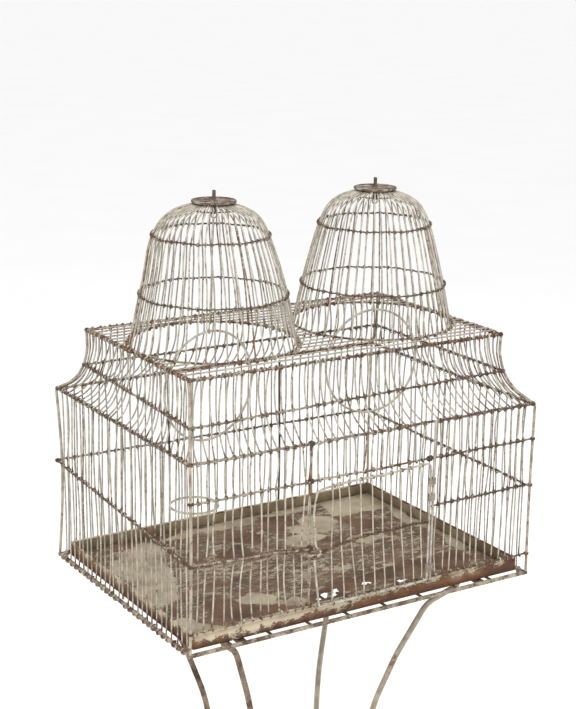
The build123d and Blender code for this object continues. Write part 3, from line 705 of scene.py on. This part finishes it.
def tie_front(ties):
    """Knots of heavier wire round the ends of the sill and lintel, and beside the door."""
    heavy = 0.8
    for sign, z in ((-1, LINTEL_Z + 1.0), (1, LINTEL_Z), (1, SILL_Z), (-1, SILL_Z)):
        knot(ties, (sign * HALF_LENGTH, FRONT_Y - 0.5, z), (0.1, 0.1, 1.0), 3.3, wire_r=heavy)
    hinge_end = (HINGE_X - 5.0, FRONT_Y, LINTEL_Z + 0.3)
    for length, size in ((7.0, 3.0), (4.0, 3.3)):
        knot(ties, hinge_end, (1.0, 0.0, 0.1), size, wraps=5, wire_r=heavy, length=length, rust=0.7)
    for z in (SILL_Z, LINTEL_Z, BASE_Z + MID_AT_LATCH, WAIST_Z):
        knot(ties, (LATCH_X, FRONT_Y + 2.2, z), (0.2, 0.0, 1.0), 4.0, wraps=4, wire_r=heavy, length=5.0)


# ---------------------------------------------------------------- the deck between the domes
DECK_ROWS = 20
DECK_Z = middle_z("deck_wires")
ring_low, ring_high = box_mm("left_dome_ring")
RING_R = (ring_high[0] - ring_low[0]) / 2 - RING_WIRE_R
DOME_Y = (ring_low[1] + ring_high[1]) / 2
DOME_X = {side: float(sum(box_mm(f"{side}_dome_ring"))[0] / 2) for side in ("left", "right")}


def deck_spans(y):
    """Where a deck wire runs: from edge to edge, but for the gaps at the domes' rings."""
    edge = HALF_LENGTH - TOP_END_INSET + FRAME_R
    spans = [(-edge, edge)]
    for x in DOME_X.values():
        reach_squared = (RING_R + 2.0) ** 2 - max(0.0, abs(y - DOME_Y) - BAR_R) ** 2
        if reach_squared <= 0:
            continue
        reach = math.sqrt(reach_squared)
        left = [(start, min(end, x - reach)) for start, end in spans]
        right = [(max(start, x + reach), end) for start, end in spans]
        spans = [cut for pair in zip(left, right) for cut in pair]
    return [(start, end) for start, end in spans if end - start > 9.0]


def make_deck():
    """Long wires over the top, curled round the end rails."""
    wires = Wires()
    half_width = HALF_DEPTH - TOP_LONG_INSET
    edge = HALF_LENGTH - TOP_END_INSET
    for row in range(1, DECK_ROWS):
        y = CAGE_Y - half_width + row * 2 * half_width / DECK_ROWS
        for start, end in deck_spans(y):
            x = np.append(np.arange(start, end, 12.0), end)
            z = np.full_like(x, DECK_Z) + 0.25 * np.sin(x / 23.0 + row)
            path = np.stack((x, np.full_like(x, y) + rng.gauss(0, 0.5) * np.sin(x / 60.0), z), axis=1)
            for sign, tip in ((-1, start), (1, end)):
                if abs(tip) > edge - 1:
                    rail_end = np.array((sign * edge, y, TOP_Z))
                    curl = hook(rail_end, UP, sign * RIGHT, BACK, DECK_Z - TOP_Z, sweep=260)
                    path = path[sign * path[:, 0] < edge - 1]
                    path = np.vstack((path, curl) if sign > 0 else (curl[::-1], path))
            wires.tube(path, BAR_R, rust=rng.uniform(0.0, 0.3), tone=rng.uniform(-0.6, 0.3))
    wires.build("deck_wires", "cage", bar_paint)


# ---------------------------------------------------------------- domes
DOME_BARS = 52
SHOULDER_Z = BASE_Z + 505.0
# corners of a dome bar's line, from its foot to its tip: distance from the dome's axis, height
DOME_CORNERS = (
    (115.2, TOP_Z + 2.2),
    (102.4, BASE_Z + 424.0),
    (77.6, BASE_Z + 509.0),
    (60.0, BASE_Z + 539.0),
    (22.0, BASE_Z + 551.3),
)


def rounded(corners, rounds=4):
    """Corner cutting: a smooth line along a row of corners, with the same ends."""
    points = np.array(corners, float)
    for _ in range(rounds):
        first = points[:-1] * 0.75 + points[1:] * 0.25
        second = points[:-1] * 0.25 + points[1:] * 0.75
        points = np.vstack((points[:1], np.stack((first, second), axis=1).reshape(-1, 2)[1:-1], points[-1:]))
    return points


dome_line = rounded(DOME_CORNERS)


def make_dome(name, x, hoops, bulge, shift):
    """Bars hooked round the dome's ring, tied to two hoops outside.

    bulge is how far the shoulder swells, and shift how far it leans away from upright.
    """
    wires = Wires()
    centre = np.array((x, DOME_Y, 0.0))
    ring_z = middle_z(f"{name}_dome_ring")

    def shoulder(z):
        return np.exp(-(((np.asarray(z, float) - SHOULDER_Z) / 42.0) ** 2))

    def lean_of(z):
        return np.multiply.outer(shoulder(z), np.array(shift + (0.0,)))

    heights = dome_line[:, 1]
    bars = []
    for index in range(DOME_BARS):
        angle = (index + rng.uniform(-0.10, 0.10)) * FULL_TURN / DOME_BARS
        sway = rng.uniform(-0.022, 0.022)
        bend = np.sin((heights - heights[0]) / (heights[-1] - heights[0]) * math.pi)
        turns = angle + sway * bend
        radii = dome_line[:, 0] + bulge * shoulder(heights) + rng.gauss(0.0, 0.6) * bend
        out = np.stack((np.cos(turns), np.sin(turns), np.zeros_like(turns)), axis=1)
        path = centre + out * radii[:, None] + lean_of(heights)
        path[:, 2] = heights
        around = np.array((-math.sin(angle), math.cos(angle), 0.0))
        outward = out[0]
        ring_centre = centre + outward * RING_R
        ring_centre[2] = ring_z
        curl = hook(ring_centre, -outward, UP, around, RING_WIRE_R + BAR_R, sweep=260, heads=False)
        path = np.vstack((curl[::-1], path[1:]))
        bars.append(angle)
        rust = rng.uniform(-0.15, 0.15) + 0.35 * np.exp(-np.abs(path[:, 2] - heights[0]) / 6.0)
        if rng.random() < 0.07:
            rust = rust + 0.25
        wires.tube(path, BAR_R, rust=rust, tone=rng.uniform(-0.6, 0.5))
    wires.build(f"{name}_dome_bars", "cage", bar_paint)

    turn = np.radians(np.arange(0.0, 360.0, 3.0))
    circle = np.stack((np.cos(turn), np.sin(turn), np.zeros_like(turn)), axis=1)
    ring = Wires()
    ring.tube(centre + circle * RING_R + (0, 0, ring_z), RING_WIRE_R, closed=True, rust=0.2)
    ring.build(f"{name}_dome_ring", "cage", rail_paint)

    ties = Wires()
    wires = Wires()
    for z in hoops:
        below, radius, above = (float(np.interp(z + step, heights, dome_line[:, 0])) for step in (-1, 0, 1))
        middle = centre + lean_of(z)
        tilt = math.atan((above - below) / 2)
        hoop_r = radius + bulge * float(shoulder(z)) + (BAR_R + HOOP_WIRE_R) / math.cos(tilt)
        path = middle + circle * hoop_r + np.outer(z + 0.5 * np.sin(turn * 9 + z), UP)
        wires.tube(path, HOOP_WIRE_R, sides=7, closed=True, rust=0.3)

        def spine(length, hoop_r=hoop_r, z=z, tilt=tilt, middle=middle):
            angle = length / hoop_r
            out = np.stack((np.cos(angle), np.sin(angle), np.zeros_like(angle)), axis=1)
            upward = math.cos(tilt) * UP + math.sin(tilt) * out
            inward = -math.cos(tilt) * out + math.sin(tilt) * UP
            points = middle + out * hoop_r
            points[:, 2] = z + 0.5 * np.sin(angle * 9 + z)
            return points, inward, upward

        coil(ties, spine, [angle * hoop_r for angle in bars], HOOP_WIRE_R, BAR_R, turns=1.5, pitch=0.9)
    wires.build(f"{name}_dome_hoops", "cage", hoop_wire,
                (f"{name}_dome_low_hoop", f"{name}_dome_high_hoop"))
    ties.build(f"{name}_dome_binding", "cage", binding_rust, ())


# ---------------------------------------------------------------- door
# points of the bent outline, all round: x, and height above the bottom frame
DOOR_OUTLINE = (
    (-94, 186), (-97, 166), (-96, 144), (-95, 128), (-92.5, 116), (-86, 109), (-85, 105), (-92, 101.8),
    (-95, 98), (-94, 87), (-91, 63), (-88, 42), (-86.9, 34), (-85, 29.8), (-80, 28.8), (-30, 28.6),
    (40, 28.8), (84, 29.2), (92.5, 31), (94.3, 38), (94.5, 100), (94.5, 180), (94.2, 194), (92.5, 200),
    (88, 202), (66, 201.4), (44, 200.4), (7, 199), (-40, 199), (-71, 197.2), (-86, 195.4), (-91.5, 192.5),
)
# the bars' places at the top wire, the middle wires and the bottom wire
DOOR_BAR_TOP = (-67, -57, -42, -23, -4, 12, 27, 44, 59, 78)
DOOR_BAR_MID = (-68, -52, -36, -19, 0, 16, 31, 47, 64, 80)
DOOR_BAR_LOW = (-64, -44, -24, -11, 7, 24, 41, 57, 73, 87)
DOOR_MID_LINE = (
    (-85, 106.6), (-70, 109.5), (-52, 112.8), (-32, 114.4), (-13, 116.4), (48, 116.8), (64, 118), (94, 116.2),
)


def closed_curve(points, step=3.0):
    """A smooth closed line through the points (Catmull-Rom), sampled about every step."""
    points = np.array(points, float)
    out = []
    count = len(points)
    for i in range(count):
        a, b, c, d = (points[(i + k) % count] for k in (-1, 0, 1, 2))
        pieces = max(2, int(np.linalg.norm(c - b) / step))
        square, cube = 2 * a - 5 * b + 4 * c - d, 3 * b - a - 3 * c + d
        for t in np.arange(pieces) / pieces:
            out.append(0.5 * (2 * b + (c - a) * t + square * t**2 + cube * t**3))
    return np.array(out)


def door_wire_z(x, top):
    """Height of the outline's top or bottom wire at a place."""
    outline = np.array(DOOR_OUTLINE, float)
    part = outline[(outline[:, 1] > 185) if top else (outline[:, 1] < 35)]
    part = part[np.argsort(part[:, 0])]
    return float(np.interp(x, part[:, 0], part[:, 1]))


def make_door_frame():
    outline = closed_curve(DOOR_OUTLINE)
    path = np.stack((outline[:, 0], np.full(len(outline), DOOR_Y), outline[:, 1] + BASE_Z), axis=1)
    wires = Wires()
    wires.tube(path, DOOR_WIRE_R, sides=10, closed=True, rust=0.05)
    wires.build("door_frame", "door", bar_paint)


def make_door_bars():
    """Bars curled round the door's bottom and top wires."""
    wires = Wires()
    reach = DOOR_WIRE_R + DOOR_BAR_R
    for top_x, mid_x, low_x in zip(DOOR_BAR_TOP, DOOR_BAR_MID, DOOR_BAR_LOW):
        low_z, high_z = door_wire_z(low_x, False), door_wire_z(top_x, True)
        mid_z = float(np.interp(mid_x, *np.array(DOOR_MID_LINE).T))
        z = np.concatenate((np.arange(low_z, mid_z, 9.0), np.arange(mid_z, high_z, 9.0), (high_z,)))
        x = np.interp(z, (low_z, mid_z, high_z), (low_x, mid_x, top_x))
        y = np.interp(z, (low_z, low_z + 14, high_z - 14, high_z), (reach, 0.6, 0.6, reach))
        path = np.stack((x, DOOR_Y + y, BASE_Z + z), axis=1)
        foot_at, head_at = np.array(((low_x, DOOR_Y, BASE_Z + low_z), (top_x, DOOR_Y, BASE_Z + high_z)))
        foot = hook(foot_at, BACK, UP, RIGHT, reach - 0.1, heads=False)
        head = hook(head_at, BACK, UP, RIGHT, reach - 0.1)
        path = np.vstack((foot[::-1], path, head))
        near = np.minimum(np.abs(path[:, 2] - BASE_Z - low_z), np.abs(path[:, 2] - BASE_Z - high_z))
        wires.tube(path, DOOR_BAR_R, rust=0.4 * np.exp(-near / 5.0) - 0.05, tone=rng.uniform(-0.4, 0.5))
    wires.build("door_bars", "door", bar_paint)


def make_door_mid_rail():
    """Two wires that twist half a turn from each bar to the next."""
    wires = Wires()
    stations = np.array((-85.0,) + DOOR_BAR_MID + (94.0,))
    x = np.arange(-85.0, 94.1, 1.6)
    phase = np.interp(x, stations, np.arange(len(stations)) * math.pi)
    z = np.interp(x, *np.array(DOOR_MID_LINE).T)
    for sign in (-1, 1):
        y = DOOR_Y + 0.5 + sign * 2.0 * np.cos(phase)
        path = np.stack((x, y, BASE_Z + z + sign * 1.2 * np.sin(phase)), axis=1)
        wires.tube(path, BAR_R, rust=0.3, tone=-0.1)
    wires.build("door_mid_rail", "door", hoop_wire)


def make_door_catch():
    """A hook from the door's left wire round the latch posts, tied on with two knots."""
    wires = Wires()
    catch_z = BASE_Z + 105.0
    bend = np.radians(np.arange(0.0, 91.0, 15.0))
    start = np.array(((-93.5, DOOR_Y, catch_z), (-99.0, DOOR_Y - 0.4, catch_z)))
    curl_x, curl_y = -100.5 - 3.4 * np.sin(bend), DOOR_Y + 3.4 - 3.6 * np.cos(bend)
    curl = np.stack((curl_x, curl_y, np.full(len(bend), catch_z)), axis=1)
    end = np.array(((-104.2, FRONT_Y + 2.0, catch_z), (-103.6, FRONT_Y + 6.0, catch_z + 0.5)))
    wires.tube(np.vstack((start, curl, end)), BAR_R, rust=0.2)
    for shift in (0.0, 2.2):
        knot(wires, (-94.0, DOOR_Y, catch_z + shift - 5.0), (0.1, 0, 1), 2.5, wraps=2, wire_r=0.75)
    wires.build("door_catch", "door", bar_paint)


def make_hinge_coils():
    """Three coils of wire wound round the door's right wire and the hinge post together."""
    wires = Wires()
    post, stile = np.array((HINGE_X, HINGE_Y)), np.array((94.4, DOOR_Y))
    axis = (stile - post) / np.linalg.norm(stile - post)
    side = np.array((-axis[1], axis[0]))
    for low, length in ((42.0, 11.0), (147.0, 10.0), (170.0, 10.0)):
        turns = int(length / 2.0)
        angle = np.arange(turns * 14 + 1) * FULL_TURN / 14
        swing, rise = np.cos(angle)[:, None], np.sin(angle)[:, None]
        middle = np.where(swing > 0, stile, post)
        radius = np.where(swing > 0, DOOR_WIRE_R + 1.0, MID_POST_R + 1.15)
        flat = middle + radius * (swing * axis + rise * side)
        z = BASE_Z + low + length * np.arange(len(angle)) / (len(angle) - 1)
        wires.tube(np.column_stack((flat, z)), 0.85, sides=6, rust=0.05, tone=rng.uniform(-0.3, 0.3))
    wires.build("door_hinge_coils", "door", post_paint)


# ---------------------------------------------------------------- tray
def smooth_noise(x, y, cell, seed):
    """Value noise from 0 to 1 on a square grid of random numbers."""
    table = np.random.default_rng(seed).random((64, 64))
    u, v = x / cell, y / cell
    i, j = np.floor(u).astype(int), np.floor(v).astype(int)
    fu, fv = u - i, v - j
    fu, fv = fu * fu * (3 - 2 * fu), fv * fv * (3 - 2 * fv)
    corner = [table[(i + a) % 64, (j + b) % 64] for a in (0, 1) for b in (0, 1)]
    return (corner[0] * (1 - fu) + corner[2] * fu) * (1 - fv) + (corner[1] * (1 - fu) + corner[3] * fu) * fv


TRAY_WALL = 1.0
# patches of old paint (plus) and smooth bare rust (minus) on the tray's floor:
# x, y, half width, half depth, strength
TRAY_PATCHES = (
    (-215, 60, 42, 72, 0.8), (-235, -10, 34, 40, 0.6), (-248, -150, 34, 46, 0.9), (-180, 135, 46, 34, 0.5),
    (-122, -98, 34, 17, 0.9), (-70, -180, 90, 9, 0.8), (0, 172, 150, 14, 0.5), (60, 60, 34, 24, 0.5),
    (-120, 20, 60, 26, 0.15), (110, 110, 52, 34, 0.5), (215, 150, 56, 38, 0.9), (258, 20, 12, 130, 0.7),
    (150, 20, 30, 22, 0.35), (-70, -132, 26, 14, 0.7), (20, -60, 60, 22, 0.15),
    (-170, -112, 30, 34, -0.9), (-120, -140, 36, 14, -0.9), (60, 140, 24, 30, -0.7), (-20, 110, 26, 24, -0.8),
    (120, -110, 70, 22, -0.8), (200, -120, 50, 24, -0.6), (30, -118, 46, 18, -0.9), (-60, 60, 22, 18, -0.5),
    (185, 70, 22, 26, -0.6), (-150, 180, 50, 10, -0.6),
)
# rusted-through holes: x, y, half width, half depth
TRAY_HOLES = (
    (-28, -136, 15, 8), (-8, -128, 7, 4), (47, -126, 9, 3.5), (95, -145, 10, 4), (152, -165, 12, 2.6),
)


def make_tray_floor():
    """A slightly warped sheet with rusted-through holes; its paint attribute steers the material."""
    low, high = box_mm("tray")
    x = np.linspace(low[0] + TRAY_WALL, high[0] - TRAY_WALL, 217)
    y = np.linspace(low[1] + TRAY_WALL, high[1] - TRAY_WALL, 154)
    gx, gy = np.meshgrid(x, y, indexing="ij")
    edge = np.minimum.reduce((gx - x[0], x[-1] - gx, gy - y[0], y[-1] - gy))
    calm = np.clip(edge / 25.0, 0, 1)
    warp = (smooth_noise(gx, gy, 60.0, 1) - 0.35) * 1.6 * calm
    paint = np.zeros(gx.shape)
    wave_x = gx + 26.0 * (smooth_noise(gx, gy, 31.0, 7) - 0.5)
    wave_y = gy + 20.0 * (smooth_noise(gx, gy, 23.0, 8) - 0.5)
    for px, py, wide, deep, strength in TRAY_PATCHES:
        far = ((wave_x - px) / wide) ** 2 + ((wave_y - py) / deep) ** 2
        paint = paint + strength * np.clip((1.15 - far) * 2.2, 0, 1)
    paint = np.clip(paint, -0.6, 0.52)
    paint = paint + 0.3 * (smooth_noise(gx, gy * 2.4, 24.0, 2) - 0.5)
    paint = paint + 0.3 * (smooth_noise(gx, gy * 2.0, 9.0, 3) - 0.5)
    keep = np.ones(gx.shape, bool)
    move_x, move_y = gx.copy(), gy.copy()
    for hx, hy, wide, deep in TRAY_HOLES:
        dx, dy = (gx - hx) / wide, (gy - hy) / deep
        angle = np.arctan2(dy, dx)
        # a ragged edge, on to which the nearest points of the sheet are pulled
        rim = 1 + 0.22 * np.sin(3 * angle + hx) + 0.14 * np.sin(5 * angle + hy) + 0.08 * np.sin(9 * angle)
        far = np.sqrt(dx**2 + dy**2)
        keep &= far > rim
        close = (far > rim) & (far < rim + 2.2 / min(wide, deep))
        pull = np.where(close, rim / np.maximum(far, 1e-6), 1.0)
        move_x = np.where(close, hx + (gx - hx) * pull, move_x)
        move_y = np.where(close, hy + (gy - hy) * pull, move_y)
        paint = np.where(far < rim + 0.9, -0.5, paint)
        warp = warp - 0.6 * np.exp(-np.maximum(far - rim, 0) * 1.5)
    warp = np.maximum(warp, 0.0)
    index = np.arange(gx.size).reshape(gx.shape)
    good = keep[:-1, :-1] & keep[1:, :-1] & keep[1:, 1:] & keep[:-1, 1:]
    quads = np.stack((index[:-1, :-1], index[1:, :-1], index[1:, 1:], index[:-1, 1:]), axis=2)[good]
    top = np.stack((move_x, move_y, low[2] + TRAY_WALL + warp), axis=2).reshape(-1, 3)
    used = np.unique(quads)
    renumber = np.full(gx.size, -1)
    renumber[used] = np.arange(len(used))
    obj = mesh_object("tray_floor", top[used], renumber[quads].tolist())
    set_attribute(obj, "paint", paint.reshape(-1)[used])
    thick = obj.modifiers.new("thickness", "SOLIDIFY")
    thick.thickness = 0.9 * MM
    thick.offset = -1.0
    place(obj, "tray", tray_paint, ("tray",))


def make_tray_rim():
    """The tray's walls with their rolled hem, swept round it."""
    low, high = box_mm("tray")
    tall = high[2] - low[2]
    hem_r = 1.5
    roll = np.radians(np.arange(-60.0, 241.0, 25.0))
    outline = [(0.0, 0.0), (0.0, tall - 2 * hem_r)]
    outline += [(-hem_r + hem_r * math.cos(a), tall - hem_r + hem_r * math.sin(a)) for a in roll]
    outline += [(-TRAY_WALL, tall - 2.4 * hem_r), (-TRAY_WALL, 0.0)]
    corner_r = 3.0
    track = []
    for cx, cy, first in (
        (high[0], low[1], -90), (high[0], high[1], 0), (low[0], high[1], 90), (low[0], low[1], 180),
    ):
        for a in np.radians(np.arange(first, first + 91, 15.0)):
            sx, sy = math.copysign(1, cx), math.copysign(1, cy - CAGE_Y)
            middle = np.array((cx - sx * corner_r, cy - sy * corner_r))
            out = np.array((math.cos(a), math.sin(a)))
            track.append((middle + out * corner_r, out))
    points, normals = [], []
    for (here, out), (ahead, next_out) in zip(track, track[1:] + track[:1]):
        pieces = max(1, int(np.linalg.norm(ahead - here) / 4.0))
        for t in np.arange(pieces) / pieces:
            points.append(here * (1 - t) + ahead * t)
            normal = out * (1 - t) + next_out * t
            normals.append(normal / np.linalg.norm(normal))
    points, normals = np.array(points), np.array(normals)
    run = np.arange(len(points))
    dent = 0.35 * np.sin(run / 9.0) * np.sin(run / 23.0) - 0.4
    coords = []
    for out, z in outline:
        flat = points + normals * (out + dent * (z / tall))[:, None]
        coords.append(np.column_stack((flat, np.full(len(flat), low[2] + z))))
    coords = np.stack(coords, axis=1)
    count, sides = coords.shape[:2]
    faces = []
    for i in range(count):
        here, after = i * sides, (i + 1) % count * sides
        for j in range(sides):
            k = (j + 1) % sides
            faces.append((here + j, after + j, after + k, here + k))
    rim = mesh_object("tray_rim", coords.reshape(-1, 3), faces)
    x, y, z = coords.reshape(-1, 3).T
    height = z - low[2]
    streaks = smooth_noise(x + y, height * 3.0, 11.0, 5) - 0.5
    # less paint towards the right end, and none along the bottom edge
    places = (-272, -268, -100, -20, 90, 230, 262, 268)
    values = np.interp(x, places, (0.0, 0.5, 0.42, 0.25, 0.05, 0.12, -0.1, -0.5))
    values = values + 0.9 * streaks - 0.9 * np.clip((9.0 - height) / 6.0, 0, 1)
    # painted light: the walls' inner faces get mostly the pale rim paint, lighter than the floor's khaki, to
    # lift them out of the shade they stand in
    inner = np.tile(np.arange(sides) >= sides - 2, count)
    values = np.where(inner, 0.45 + 0.6 * streaks, values)
    set_attribute(rim, "paint", values)
    place(rim, "tray", rim_paint)


def tray_material(name, paints, rusts, level, fine):
    """Khaki paint peeling in streaks off purple-brown rust, steered by the paint attribute."""
    shade = Shader(name)
    streaks = shade.noise(fine, detail=6.0, roughness=0.72, stretch=(0.36, 1.0, 1.0), distortion=0.5)
    flakes = shade.noise(fine * 3.1, detail=5.0, roughness=0.7, stretch=(0.5, 1.0, 1.0))
    blotch = shade.noise(17.0, detail=5.0, roughness=0.6)
    grain = shade.noise(900.0, detail=3.0)
    value = shade.math("MULTIPLY_ADD", streaks, 1.4, shade.math("MULTIPLY", flakes, 1.7))
    value = shade.math("ADD", value, shade.attribute("paint"))
    mask = shade.step(value, level - 0.05, level + 0.05)
    thin = shade.step(value, level - 0.35, level)
    rust = shade.mix(shade.step(blotch, 0.38, 0.62), rusts[0], rusts[1])
    rust = shade.mix(shade.step(flakes, 0.50, 0.70), rust, rusts[2])
    rust = shade.mix(shade.math("MULTIPLY", thin, 0.35), rust, paints[1])
    paint = shade.mix(shade.step(blotch, 0.40, 0.66), paints[0], paints[1])
    paint = shade.mix(shade.step(grain, 0.55, 0.72, 0.0, 0.5), paint, rusts[2])
    colour = shade.mix(mask, rust, paint)
    # painted shadow: a dark band just outside each paint edge stands for the shade under the curled edges of
    # the peeling paint
    ring = shade.math("SUBTRACT", shade.step(value, level - 0.10, level - 0.02), mask)
    colour = shade.mix(shade.math("MULTIPLY", ring, 0.75), colour, srgb(34, 24, 20))
    height = shade.math("MULTIPLY_ADD", grain, 0.25, mask)
    roughness = shade.step(mask, 0.0, 1.0, 0.9, 0.62)
    return shade.finish(colour, roughness, height, bump=0.6, depth=0.0007, specular=0.25)


TRAY_PAINTS = (srgb(168, 156, 133), srgb(136, 121, 99))
TRAY_RUSTS = (srgb(82, 63, 51), srgb(108, 83, 64), srgb(58, 44, 37))
RIM_PAINTS = (srgb(194, 180, 154), srgb(164, 148, 124))
RIM_RUSTS = (srgb(88, 62, 46), srgb(118, 82, 56), srgb(60, 43, 34))
tray_paint = tray_material("tray_paint", TRAY_PAINTS, TRAY_RUSTS, 1.66, 170.0)
rim_paint = tray_material("rim_paint", RIM_PAINTS, RIM_RUSTS, 1.58, 170.0)


# ---------------------------------------------------------------- CAD pieces that keep their shape
# {} stands for each side in turn
KEPT = (
    (leg_rusty, ("leg_front_left", "leg_back_left", "leg_hoop", "foot_pads")),
    (leg_pale, ("leg_front_right", "leg_back_right")),
    (frame_paint, ("leg_sockets",)),
    (bottom_paint, ("bottom_rails",)),
    (dark_wire, ("hoop_rivets", "floor_straps", "floor_rods", "{}_dome_inner_hoop", "{}_finial_eye")),
    (disc_iron, ("{}_dome_disc",)),
    (bar_paint, ("cup_ring", "{}_swing_hanger", "{}_swing_hoop")),
)


def finish_kept_nodes():
    for material, names in KEPT:
        for name in sorted({pattern.format(side) for pattern in names for side in ("left", "right")}):
            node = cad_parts[name]
            for slot in node.material_slots:
                slot.material = material
            if not node.material_slots:
                node.data.materials.append(material)


make_wall_bars()
make_corner_posts()
make_middle_posts()
make_door_posts()
make_wall_rails()
make_deck()
make_dome("left", DOME_X["left"], (BASE_Z + 427.0, BASE_Z + 509.0), 3.0, (-3.6, 2.3))
make_dome("right", DOME_X["right"], (BASE_Z + 416.5, BASE_Z + 503.5), 1.5, (0.0, 0.0))
make_door_frame()
make_door_bars()
make_door_mid_rail()
make_door_catch()
make_hinge_coils()
make_tray_floor()
make_tray_rim()
finish_kept_nodes()


# ---------------------------------------------------------------- camera, floor and light
def make_camera():
    """A view from the front left, a little above the cage; places are in metres."""
    forward = Vector((0.51610, 0.81797, -0.25410)).normalized()
    right = Vector((0.84573, -0.53361, 0.0)).normalized()
    up = right.cross(forward).normalized()
    roll = math.radians(0.88)
    rolled_right = right * math.cos(roll) + up * math.sin(roll)
    rolled_up = up * math.cos(roll) - right * math.sin(roll)
    data = bpy.data.cameras.new("camera")
    data.lens, data.sensor_width = 79.86, 36.0
    data.clip_start, data.clip_end = 0.05, 300.0
    camera = bpy.data.objects.new("camera", data)
    bpy.context.scene.collection.objects.link(camera)
    turn = Matrix((rolled_right, rolled_up, -forward)).transposed().to_4x4()
    camera.matrix_world = Matrix.Translation(Vector((-1.1732, -1.8414, 1.6548))) @ turn
    bpy.context.scene.camera = camera


def make_floor():
    size = 90000.0
    corners = [(-size, -size, 0), (size, -size, 0), (size, size, 0), (-size, size, 0)]
    floor = mesh_object("floor", corners, [(0, 1, 2, 3)])
    shade = Shader("floor_white")
    tint = shade.step(shade.noise(2.0, detail=2.0), 0.2, 0.8)
    white = shade.mix(tint, (0.93, 0.93, 0.93, 1), (0.95, 0.95, 0.95, 1))
    floor.data.materials.append(shade.finish(white, 0.9))


def area_light(name, spot, aim, size, power):
    data = bpy.data.lights.new(name, "AREA")
    data.shape, data.size, data.energy = "DISK", size, power
    light = bpy.data.objects.new(name, data)
    bpy.context.scene.collection.objects.link(light)
    light.location = spot
    light.rotation_mode = "QUATERNION"
    light.rotation_quaternion = (Vector(aim) - Vector(spot)).to_track_quat("-Z", "Y")


def make_light():
    world = bpy.data.worlds.new("studio")
    world.use_nodes = True
    backdrop = world.node_tree.nodes["Background"]
    backdrop.inputs["Color"].default_value = (1.0, 1.0, 1.0, 1.0)
    backdrop.inputs["Strength"].default_value = 1.0
    bpy.context.scene.world = world
    area_light("key", (-1.6, -2.0, 3.4), (0, 0, 0.9), 2.2, 90.0)
    area_light("fill", (2.8, -0.6, 2.4), (0, 0, 0.9), 2.5, 30.0)
    bpy.context.scene.view_settings.view_transform = "Standard"


make_camera()
make_floor()
make_light()
